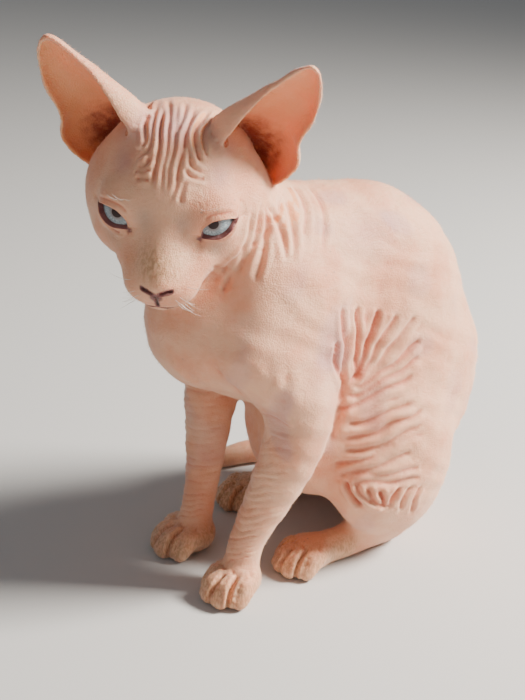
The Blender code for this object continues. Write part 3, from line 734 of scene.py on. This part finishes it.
patches = {
    # strength, place and size; those of the face lie on both sides
    "bridge": ((1.0, (0, -40, -3), (11, 17, 9)), (0.6, (0, -25, 13), (9, 9, 8))),
    "furry": ((0.6, (12, -40, -18), (9, 10, 8)), (0.35, (13, -24, 16), (8, 6, 5))),
    "crown": ((0.9, (-3, 6, 36), (18, 15, 9)),),
    "lilac": ((0.6, (20, -12, 24), (9, 9, 6)), (0.5, (33, -8, 0), (7, 10, 12)), (0.5, (21, 4, 28), (9, 10, 8))),
    "lilac on body": ((0.5, (30, 74, 190), (22, 26, 20)), (0.5, (44, 40, 120), (16, 24, 30))),
    # The next patches, beside the eyes, are grey-brown painted shade
    "socketShade": ((0.5, (25, -31, -3), (6, 5, 5)), (0.55, (9, -33, 12), (5, 5, 7))),
}
onTail = smoothstep(-20, -70, body[:, 0]) * (body[:, 2] < 24)


def patched(name, shape, *where):
    return sum(strength * shape(place, size, *where) for strength, place, size in patches[name])


fur = patched("bridge", spot) + patched("furry", both) + 0.6 * toeFur + 0.3 * onTail
lilac = patched("crown", spot) + patched("lilac", both) + patched("lilac on body", spot, body)
# grey-brown painted shade beside the eyes, kept off the ears
socketShade = np.max([strength * both(place, size) for strength, place, size in patches["socketShade"]], axis=0)
socketShade *= outside(points, "ear_left", "ear_right") > 6
# The first colour set holds painted shade of the creases and hollows, fur and lilac; the second holds the lid
# edges and tear corners with painted shade in nose and mouth, the ear cups, and painted shade in the ear pits
# and beside the eyes
painted = {
    "tints": (
        np.maximum(fold, 0.5 * np.clip(hollow, 0, 1)), fur, lilac + 0.45 * trunk * smoothstep(0.1, 0.8, wave),
    ),
    "marks": (
        np.maximum(0.5 * eyeRim, np.maximum(0.4 * tears, 0.95 * noseAndMouthShade)), inside, np.maximum(recessShade, socketShade),
    ),
}
for name, channels in painted.items():
    values = np.clip(np.stack([*channels, np.ones(len(points))], axis=1), 0, 1)
    painted[name] = values
    layer = skin.data.color_attributes.new(name, "FLOAT_COLOR", "POINT")
    layer.data.foreach_set("color", values.astype(np.float32).ravel())
shadeSmooth(skin.data)
print("skin painted")


# Shaders are written as sums: a Value is a socket that takes part in them
class Value:
    def __init__(self, tree, socket):
        self.tree, self.socket = tree, socket

    def output(self, key):
        # another output of the same node
        return Value(self.tree, self.socket.node.outputs[key])

    def join(self, operation, *others):
        return put(self.tree, "ShaderNodeMath", {"operation": operation}, **{
            f"i{n}": other for n, other in enumerate((self, *others))
        })

    def __add__(self, other):
        return self.join("ADD", other)

    def __sub__(self, other):
        return self.join("SUBTRACT", other)

    def __mul__(self, other):
        return self.join("MULTIPLY", other)

    def __rsub__(self, other):
        return (self * -1.0) + other

    def __truediv__(self, other):
        return self.join("DIVIDE", other)

    def __pow__(self, other):
        return self.join("POWER", other)

    __radd__, __rmul__ = __add__, __mul__

    def step(self, low, high):
        # 0 below low, 1 above high, and smooth between
        settings = {"interpolation_type": "SMOOTHSTEP"}
        return put(self.tree, "ShaderNodeMapRange", settings, Value=self, i1=low, i2=high)


def setSockets(tree, node, **inputs):
    # what a node's sockets take; iN names a socket by its number
    for key, value in inputs.items():
        numbered = key[0] == "i" and key[1:].isdigit()
        socket = node.inputs[int(key[1:])] if numbered else node.inputs[key.replace("_", " ")]
        if isinstance(value, Value):
            tree.links.new(value.socket, socket)
        else:
            socket.default_value = value


def put(tree, kind, settings=None, out=0, **inputs):
    # one node with its settings and sockets
    node = tree.nodes.new(kind)
    for key, value in (settings or {}).items():
        setattr(node, key, value)
    setSockets(tree, node, **inputs)
    return Value(tree, node.outputs[out])


def mixed(tree, share, first, second):
    return put(tree, "ShaderNodeMix", {"data_type": "RGBA"}, out=2, i0=share, i6=first, i7=second)


def newMaterial(name):
    material = bpy.data.materials.new(name)
    material.use_nodes = True
    tree = material.node_tree
    return material, tree, tree.nodes["Principled BSDF"]


def channelsOf(tree, name):
    painted = put(tree, "ShaderNodeAttribute", {"attribute_name": name})
    red = put(tree, "ShaderNodeSeparateColor", Color=painted)
    return red, red.output(1), red.output(2)


skinLooks = {
    # the third colour on the next line is painted shade of the creases and hollows, darker and redder than the
    # skin
    "pale": (0.84, 0.47, 0.30, 1), "warm": (0.76, 0.34, 0.20, 1), "fold": (0.60, 0.15, 0.085, 1),
    "lilac": (0.58, 0.32, 0.29, 1), "fur": (0.42, 0.23, 0.11, 1), "furLight": (0.72, 0.46, 0.27, 1),
    # the last colour on the next line is painted shade, dark red, deep in the ear cups
    "ear": (0.88, 0.37, 0.17, 1), "earRim": (0.92, 0.55, 0.34, 1), "earPitShade": (0.30, 0.045, 0.020, 1),
    # the first colour on the next line is near-black painted shade in the nostrils, the mouth's seam and under
    # the nose
    "dark": (0.050, 0.016, 0.012, 1), "lid": (0.21, 0.075, 0.070, 1),
    # the first colour on the next line is grey-brown painted shade beside the eyes
    "socketShade": (0.36, 0.25, 0.20, 1), "freckle": (0.33, 0.20, 0.16, 1),
    "crinkle": 0.42, "down": (0.88, 0.58, 0.41, 1),
}


def skinColour(tree):
    look = skinLooks
    place = put(tree, "ShaderNodeTexCoord", out=3)
    creaseShade, furry, lilac = channelsOf(tree, "tints")
    dark, ear, recessShade = channelsOf(tree, "marks")
    broad = put(tree, "ShaderNodeTexNoise", Vector=place, Scale=38.0, Detail=4.0, Roughness=0.55)
    fine = put(tree, "ShaderNodeTexNoise", Vector=place, Scale=420.0, Detail=3.0, Roughness=0.6)
    streak = put(tree, "ShaderNodeTexNoise", Vector=put(
        tree, "ShaderNodeMapping", Vector=place, Scale=(1.0, 1.0, 0.35)), Scale=900.0, Detail=2.0)
    colour = mixed(tree, broad.step(0.38, 0.66), look["pale"], look["warm"])
    colour = mixed(tree, (lilac * (0.55 + 0.9 * broad)).step(0.12, 0.95) * 0.85, colour, look["lilac"])
    # painted shade, darker and redder, in the creases and hollows
    colour = mixed(tree, (creaseShade * (0.7 + 0.6 * fine)).step(0.08, 0.9) * 0.9, colour, look["fold"])
    fur = mixed(tree, streak.step(0.4, 0.62), look["fur"], look["furLight"])
    colour = mixed(tree, (furry * (0.6 + 0.8 * fine)).step(0.1, 0.85) * 0.75, colour, fur)
    dots = put(tree, "ShaderNodeTexVoronoi", Vector=place, Scale=150.0)
    colour = mixed(tree, (1.0 - dots.step(0.05, 0.12)) * broad.step(0.56, 0.6) * 0.5, colour, look["freckle"])
    inEar = mixed(tree, ear.step(0.35, 1.0), look["earRim"], look["ear"])
    colour = mixed(tree, ear * (0.75 + 0.3 * fine), colour, inEar)
    lumps = put(tree, "ShaderNodeTexNoise", Vector=place, Scale=210.0, Detail=4.0, Roughness=0.6)
    # painted shade, dark red and lumpy, deep in the ear cups
    colour = mixed(tree, ear * (recessShade * (0.35 + 1.3 * lumps)).step(0.15, 0.85), colour, look["earPitShade"])
    # grey-brown painted shade beside the eyes, away from the ears
    colour = mixed(tree, (1.0 - ear) * recessShade, colour, look["socketShade"])
    # the lid colour edges the lids and the tear corners; near-black painted shade fills the nostrils, the
    # mouth's seam and the place under the nose
    colour = mixed(tree, dark.step(0.08, 0.42), colour, look["lid"])
    return mixed(tree, dark.step(0.5, 0.85), colour, look["dark"]), place, fine, dark


def skinMaterial():
    material, tree, shader = newMaterial("skin")
    colour, place, fine, dark = skinColour(tree)
    cells = put(tree, "ShaderNodeTexVoronoi", {"feature": "DISTANCE_TO_EDGE"}, Vector=place, Scale=900.0)
    ripple = put(tree, "ShaderNodeTexNoise", Vector=place, Scale=260.0, Detail=5.0, Roughness=0.62)
    stretched = put(tree, "ShaderNodeMapping", Vector=place, Scale=(1.0, 0.45, 1.0))
    slack = put(tree, "ShaderNodeTexNoise", Vector=stretched, Scale=190.0, Detail=3.0, Distortion=1.2)
    height = cells.step(0.0, 0.22) * 0.3 + ripple * 0.9 + fine * 0.4 + slack * 1.8
    bump = put(tree, "ShaderNodeBump", Height=height, Strength=skinLooks["crinkle"], Distance=0.0009)
    setSockets(
        tree, shader, Base_Color=colour, Roughness=0.55 - 0.2 * dark.step(0.5, 0.9), Normal=bump,
        Subsurface_Weight=0.35, Subsurface_Radius=(1.0, 0.35, 0.2), Subsurface_Scale=0.004,
        Specular_IOR_Level=0.35, Sheen_Weight=0.25, Sheen_Roughness=0.4,
    )
    return material


def downMaterial():
    material, tree, shader = newMaterial("down")
    colour, _, _, _ = skinColour(tree)
    colour = mixed(tree, 0.25, colour, skinLooks["down"])
    setSockets(tree, shader, Base_Color=colour, Roughness=0.6, Sheen_Weight=0.3)
    return material


skin.data.materials.clear()
skin.data.materials.append(skinMaterial())
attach(skin, "root")
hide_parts(*fleshNodes)
print("skin dressed")


# Eyes: a ball with its cornea raised, painted round the way it looks
eyeLooks = {
    "dark": (0.15, 0.19, 0.22, 1), "light": (0.42, 0.50, 0.53, 1), "edge": (0.05, 0.06, 0.065, 1),
    "ring": (0.22, 0.19, 0.19, 1), "pupil": (0.022, 0.006, 0.006, 1), "shrink": 0.055,
}


def eyeMaterial():
    material, tree, shader = newMaterial("eye")
    look = put(tree, "ShaderNodeAttribute", {"attribute_name": "look"}, out=1)
    apart = put(tree, "ShaderNodeSeparateXYZ", Vector=look)
    side, up = apart, apart.output(1)
    far = (side * side + up * up) ** 0.5
    around = put(tree, "ShaderNodeCombineXYZ", i0=up.join("ARCTAN2", side) * 9.0, i1=far * 0.35)
    rays = put(tree, "ShaderNodeTexNoise", Vector=around, Scale=1.6, Detail=4.0)
    iris = mixed(tree, rays.step(0.35, 0.68), eyeLooks["dark"], eyeLooks["light"])
    iris = mixed(tree, (far / eye["iris"]).step(0.7, 1.1), iris, eyeLooks["edge"])
    iris = mixed(tree, 1.0 - (far / eye["pupil"]).step(1.0, 1.9), iris, eyeLooks["ring"])
    colour = mixed(tree, 1.0 - (far / eye["pupil"]).step(0.92, 1.06), iris, eyeLooks["pupil"])
    setSockets(tree, shader, Base_Color=colour, Roughness=0.3, Specular_IOR_Level=0.1, Coat_Weight=0.7,
               Coat_Roughness=0.03, Coat_IOR=1.34)
    return material


eyeFinish = eyeMaterial()
for name, side in (("eye_left", 1), ("eye_right", -1)):
    shape = bmesh.new()
    bmesh.ops.create_uvsphere(shape, u_segments=72, v_segments=48, radius=1)
    mesh = meshFrom(shape, name)
    gaze = np.array((side * eye["gaze"][0], *eye["gaze"][1:]))
    gaze /= np.linalg.norm(gaze)
    across = np.cross(gaze, (0, 0, 1))
    across /= np.linalg.norm(across)
    above = np.cross(across, gaze)
    ball = pointsOf(mesh)
    facing = ball @ gaze
    bulge = eye["cornea"] / eye["radius"] * smoothstep(0.55, 1, facing)
    # a little smaller than the solid's ball, so that the cornea stays under the lids
    ball *= (1 - eyeLooks["shrink"] + bulge * 0.6)[:, None]
    look = np.stack([ball @ across, ball @ above, ball @ gaze], axis=1) * eye["radius"]
    setPoints(mesh, outOfHead(ball * eye["radius"] + np.array((side * eye["place"][0], *eye["place"][1:]))))
    store(mesh, "look", "FLOAT_VECTOR", look)
    shadeSmooth(mesh)
    mesh.materials.append(eyeFinish)
    ballPiece = newObject(name + "_fine", mesh)
    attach(ballPiece, "root")
    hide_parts(name)
print("eyes made")

# Claws: a short hooked cone at the tip of each toe
claw = {"length": 3.4, "radius": 0.85, "hook": 1.5, "rings": 7, "sides": 8}
shape = bmesh.new()
for name in paws:
    place, inner = pawFrame(name), (-1 if name.endswith("left") else 1)
    for across, reach, bulk in toes:
        rows = []
        for i in range(claw["rings"]):
            t = i / (claw["rings"] - 1)
            middle = Vector((
                -across * inner * 1.04, -reach - 4.4 - 4.2 * bulk - claw["length"] * (t - 0.45),
                5.4 * bulk - claw["hook"] * t * t * 1.6,
            ))
            radius = claw["radius"] * (1 - t) ** 0.7 + 0.04
            turns = np.arange(claw["sides"]) * 2 * math.pi / claw["sides"]
            ring = [Vector((math.cos(a) * radius * 0.7, 0, math.sin(a) * radius)) for a in turns]
            rows.append([shape.verts.new(place @ (middle + point)) for point in ring])
        for low, high in zip(rows, rows[1:]):
            for a, b, c, d in zip(low, low[1:] + low[:1], high[1:] + high[:1], high):
                shape.faces.new((a, b, c, d))
        shape.faces.new(rows[0][::-1])
        shape.faces.new(rows[-1])
bmesh.ops.recalc_face_normals(shape, faces=shape.faces)
mesh = meshFrom(shape, "claws")
shadeSmooth(mesh)
claws = newObject("claws", mesh)
horn, tree, shader = newMaterial("claw")
setSockets(tree, shader, Base_Color=(0.62, 0.46, 0.36, 1), Roughness=0.35)
mesh.materials.append(horn)
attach(claws, "root")

# Whiskers: short, thin and bent, a few on each whisker pad and over each eye
whiskers = {"count": 9, "length": 7.5, "thickness": 0.11, "brow": 3, "bends": 7}
skinPoints = [tuple(p) for p in pointsOf(skin.data)]
skinTree = BVHTree.FromPolygons(skinPoints, [tuple(f.vertices) for f in skin.data.polygons])
chance = np.random.default_rng(7)
curve = bpy.data.curves.new("whiskers", "CURVE")
curve.dimensions = "3D"
curve.bevel_depth = whiskers["thickness"] * mm
curve.bevel_resolution = 1
curve.use_fill_caps = True
for side in (1, -1):
    roots = [
        (6 + 1.5 * (i % 3), -47 + 2.6 * (i // 3), -16 - 2.6 * (i % 3), 1.0) for i in range(whiskers["count"])
    ]
    roots += [(16 + 3 * i, -29, 19, 0.7) for i in range(whiskers["brow"])]
    for x, y, z, size in roots:
        root, normal, _, _ = skinTree.find_nearest(onHead((x, y, z), side))
        turned = headRotation.to_3x3()
        drift = turned @ Vector((side * 0.8, -0.25 + 0.3 * chance.random(), -0.3 + 0.5 * chance.random()))
        bend = turned @ Vector((side * 0.2, 0.9, 0.4 - 1.2 * chance.random()))
        spline = curve.splines.new("POLY")
        spline.points.add(whiskers["bends"])
        length = whiskers["length"] * size * (0.55 + 0.8 * chance.random()) * mm
        for i, point in enumerate(spline.points):
            t = i / whiskers["bends"]
            place = root - normal * 0.3 * mm + length * (t * (normal * 0.9 + drift * 0.6) + 0.55 * t * t * bend)
            point.co = (*place, 1)
            point.radius = 1 - 0.75 * t
wires = newObject("whiskers", curve)
bpy.context.view_layer.update()
mesh = bpy.data.meshes.new_from_object(wires.evaluated_get(bpy.context.evaluated_depsgraph_get()))
bpy.data.objects.remove(wires)
hairs = newObject("whiskers", mesh)
hair, tree, shader = newMaterial("whisker")
setSockets(tree, shader, Base_Color=(0.86, 0.80, 0.74, 1), Roughness=0.4)
mesh.materials.append(hair)
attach(hairs, "root")
print("claws and whiskers made")

# Down: short fine hairs over the whole skin, shortest on the face and feet, grown by Geometry Nodes
down = {
    "width": 0.16, "lift": 0.30, "stray": 0.55, "patch": 0.003,
    # name: seed, hairs per square metre, length in millimetres, and where they grow
    "coats": {"down_trunk": (3, 520000, 1.5), "down_limbs": (5, 560000, 1.2), "down_head": (8, 650000, 0.85)},
}


def unwrapped():
    # a coarse copy of the skin with its own unwrap, to tell each hair's place on it
    coarse = newObject("coarse", skin.data.copy())
    thin = coarse.modifiers.new("Thin", "DECIMATE")
    thin.ratio = 9000 / len(coarse.data.polygons)
    worked(coarse)
    while coarse.data.uv_layers:
        coarse.data.uv_layers.remove(coarse.data.uv_layers[0])
    coarse.data.uv_layers.new(name="OFBake")
    bpy.context.view_layer.objects.active = coarse
    for thing in bpy.context.selected_objects:
        thing.select_set(False)
    coarse.select_set(True)
    bpy.ops.object.mode_set(mode="EDIT")
    bpy.ops.mesh.select_all(action="SELECT")
    bpy.ops.uv.smart_project(angle_limit=math.radians(66), island_margin=0.004)
    bpy.ops.object.mode_set(mode="OBJECT")
    coarse.select_set(False)
    return coarse


def growTree(name):
    tree = bpy.data.node_groups.new(name, "GeometryNodeTree")
    face = tree.interface
    face.new_socket("Geometry", in_out="INPUT", socket_type="NodeSocketGeometry")
    for key, kind in (
        ("Coarse", "NodeSocketObject"), ("Seed", "NodeSocketInt"), ("Density", "NodeSocketFloat"),
        ("Length", "NodeSocketFloat"), ("Width", "NodeSocketFloat"), ("Stray", "NodeSocketFloat"),
        ("Patch", "NodeSocketFloat"), ("Share", "NodeSocketString"), ("Material", "NodeSocketMaterial"),
    ):
        face.new_socket(key, in_out="INPUT", socket_type=kind)
    face.new_socket("Geometry", in_out="OUTPUT", socket_type="NodeSocketGeometry")
    given = tree.nodes.new("NodeGroupInput")
    inputs = {socket.name: Value(tree, socket) for socket in given.outputs if socket.name}

    def named(kind, key):
        return put(tree, "GeometryNodeInputNamedAttribute", {"data_type": kind}, Name=key)

    cloud = put(tree, "GeometryNodeDistributePointsOnFaces", Mesh=inputs["Geometry"], Seed=inputs["Seed"],
                Density=named("FLOAT", inputs["Share"]) * inputs["Density"])
    normal = cloud.output("Normal")
    # where each root lies on the unwrap
    about = put(tree, "GeometryNodeObjectInfo", out=4, Object=inputs["Coarse"])
    root = put(
        tree, "GeometryNodeSampleNearestSurface", {"data_type": "FLOAT_VECTOR"},
        Mesh=about, Value=named("FLOAT_VECTOR", "OFBake")
    )
    cloud = put(tree, "GeometryNodeStoreNamedAttribute", {"data_type": "FLOAT_VECTOR", "domain": "POINT"},
                Geometry=cloud, Name="root", Value=root)
    # the blade: two faces long, narrowing to its tip, and bent up a little
    blade = put(tree, "GeometryNodeMeshGrid", Size_X=1.0, Size_Y=1.0, Vertices_X=2, Vertices_Y=3)
    across = put(tree, "ShaderNodeSeparateXYZ", Vector=put(tree, "GeometryNodeInputPosition"))
    along = across.output(1) + 0.5
    shape = put(tree, "ShaderNodeCombineXYZ", i0=across * (1.0 - along * 0.85) * inputs["Width"],
                i1=along * inputs["Length"], i2=along * along * inputs["Length"] * 0.22)
    flat = put(tree, "GeometryNodeStoreNamedAttribute", {"data_type": "FLOAT_VECTOR", "domain": "POINT"},
               Geometry=blade, Name="patch", Value=put(tree, "ShaderNodeCombineXYZ", i0=across + 0.5, i1=along))
    flat = put(tree, "GeometryNodeSetPosition", Geometry=flat, Position=shape)
    # the blade's length follows the lie of the coat, and its face looks away from the skin
    lie = put(tree, "ShaderNodeVectorMath", {"operation": "ADD"}, i0=named("FLOAT_VECTOR", "lie"),
              i1=put(tree, "ShaderNodeVectorMath", {"operation": "SCALE"}, i0=put(
                  tree, "FunctionNodeRandomValue", {"data_type": "FLOAT_VECTOR"},
                  i0=(-1.0, -1.0, -1.0), i1=(1.0, 1.0, 1.0)), Scale=inputs["Stray"]))
    turn = put(tree, "FunctionNodeAlignRotationToVector", {"axis": "Y"}, Vector=lie)
    turn = put(tree, "FunctionNodeAlignRotationToVector", {"axis": "Z", "pivot_axis": "Y"},
               Rotation=turn, Vector=normal)
    size = put(tree, "FunctionNodeRandomValue", {"data_type": "FLOAT"}, out=1, i2=0.55, i3=1.3)
    grown = put(tree, "GeometryNodeInstanceOnPoints", Points=cloud, Instance=flat, Rotation=turn, Scale=size)
    real = put(tree, "GeometryNodeRealizeInstances", Geometry=grown)
    place = put(tree, "ShaderNodeVectorMath", {"operation": "SCALE"}, i0=named("FLOAT_VECTOR", "patch"),
                Scale=inputs["Patch"])
    place = put(tree, "ShaderNodeVectorMath", {"operation": "ADD"}, i0=named("FLOAT_VECTOR", "root"), i1=place)
    real = put(tree, "GeometryNodeStoreNamedAttribute", {"data_type": "FLOAT2", "domain": "CORNER"},
               Geometry=real, Name="OFBake", Value=place)
    for key in ("root", "patch", "lie", "share", "foldTint"):
        real = put(tree, "GeometryNodeRemoveAttribute", Geometry=real, Name=key)
    real = put(tree, "GeometryNodeSetMaterial", Geometry=real, Material=inputs["Material"])
    last = tree.nodes.new("NodeGroupOutput")
    tree.links.new(real.socket, last.inputs[0])
    return tree


def lieOfCoat():
    # from the nose back over the head, then back and down the body
    face = head - np.array((0, -50, -10))
    face = face / np.linalg.norm(face, axis=1)[:, None] @ np.array(headFrame)[:3, :3].T
    rear = np.stack([0.25 * np.sign(body[:, 0]), np.full(len(body), 0.55), np.full(len(body), -0.85)], axis=1)
    lie = face * (1 - trunk)[:, None] + rear * trunk[:, None]
    lie -= (lie * normals).sum(axis=1)[:, None] * normals
    lie /= np.maximum(np.linalg.norm(lie, axis=1), 1e-6)[:, None]
    return lie + normals * down["lift"]


# No down on the lids' edges, lips and soles, and little in the ears and the deepest folds
dark, inEars = painted["marks"][:, 0], painted["marks"][:, 1]
bare = np.maximum(dark, smoothstep(1.0, 0.2, body[:, 2])) + smoothstep(0.5, 1, fold) * 0.4
bare = np.clip(bare + 0.7 * inEars * (1 - np.exp(-((head[:, 1] - 8) / 9) ** 2)), 0, 1)
inSocket = np.zeros(len(points), bool)
for side in (1, -1):
    local, centre, opening = lidOpening(head, side)
    inSocket |= (np.linalg.norm(head - centre, axis=1) < 13) & (opening > -0.6)
grows = (1 - bare) * ~inSocket
limbs = smoothstep(96, 84, body[:, 2])
shares = {
    "down_head": grows * (1 - trunk), "down_limbs": grows * trunk * limbs,
    "down_trunk": grows * trunk * (1 - limbs),
}
store(skin.data, "lie", "FLOAT_VECTOR", lieOfCoat())
coarse = unwrapped()
downFinish = downMaterial()
tree = growTree("grow down")
for name, (seed, density, length) in down["coats"].items():
    coat = newObject(name, skin.data.copy())
    coat.data.materials.clear()
    store(coat.data, "share", "FLOAT", shares[name])
    grow = coat.modifiers.new("Grow", "NODES")
    grow.node_group = tree
    wanted = {
        "Coarse": coarse, "Seed": seed, "Density": float(density), "Length": length * mm,
        "Width": down["width"] * mm, "Stray": down["stray"], "Patch": down["patch"], "Share": "share",
        "Material": downFinish,
    }
    for item in tree.interface.items_tree:
        if item.in_out == "INPUT" and item.name in wanted:
            grow[item.identifier] = wanted[item.name]
    worked(coat)
    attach(coat, "root")
    coat.data.calc_loop_triangles()
    print("coat", name, len(coat.data.loop_triangles), [layer.name for layer in coat.data.uv_layers])
bpy.data.objects.remove(coarse)
for key in ("lie", "foldTint"):
    skin.data.attributes.remove(skin.data.attributes[key])
print("down grown")

# Stage: a plain pale floor, a soft room and one large lamp high on the right behind the cat
studio = {
    "floor": 6.0, "paper": (0.58, 0.575, 0.565, 1), "world": 0.21, "sky": (0.93, 0.96, 1.0, 1),
    # place, aim, power, size and colour
    "lamps": {
        "key": ((0.60, 1.05, 1.10), (0, 0, 0.15), 92.0, 0.45, (1.0, 0.94, 0.86)),
        "fill": ((0.6, -1.3, 0.7), (0, 0, 0.13), 2.2, 1.1, (0.92, 0.95, 1.0)),
    },
}
shape = bmesh.new()
bmesh.ops.create_grid(shape, x_segments=1, y_segments=1, size=studio["floor"])
mesh = meshFrom(shape, "floor")
floor = newObject("floor", mesh)
floor.location.z = min(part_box(name)[0].z for name in paws) - 0.0001
paper, tree, shader = newMaterial("paper")
setSockets(tree, shader, Base_Color=studio["paper"], Roughness=0.9)
mesh.materials.append(paper)

world = bpy.data.worlds.new("studio")
world.use_nodes = True
setSockets(world.node_tree, world.node_tree.nodes["Background"], Color=studio["sky"], Strength=studio["world"])
bpy.context.scene.world = world
for name, (place, aim, power, size, colour) in studio["lamps"].items():
    lamp = bpy.data.lights.new(name, "AREA")
    lamp.energy, lamp.size, lamp.color = power, size, colour
    thing = newObject(name, lamp)
    thing.location = place
    thing.rotation_euler = (Vector(aim) - Vector(place)).to_track_quat("-Z", "Y").to_euler()

# Camera: where the photograph was taken from, worked out in the lengths of part.py
shot = {
    "place": (470.8, -259.9, 347.5), "azimuth": 58, "pitch": 22, "roll": 3.4,
    "focal": 1150, "height": 700, "sensor": 24,
}
a, p, t = (math.radians(shot[key]) for key in ("azimuth", "pitch", "roll"))
back = Vector((math.sin(a) * math.cos(p), -math.cos(a) * math.cos(p), math.sin(p)))
right = Vector((math.cos(a), math.sin(a), 0))
above = back.cross(right)
right, above = math.cos(t) * right + math.sin(t) * above, math.cos(t) * above - math.sin(t) * right
lens = bpy.data.cameras.new("camera")
lens.sensor_fit = "VERTICAL"
lens.sensor_height = shot["sensor"]
lens.lens = shot["sensor"] * shot["focal"] / shot["height"]
lens.clip_start = 0.01
camera = newObject("camera", lens)
axes = Matrix((right, above, back)).transposed().to_4x4()
camera.matrix_world = Matrix.Translation(onBody(shot["place"])) @ axes
bpy.context.scene.camera = camera
print("stage and camera set")
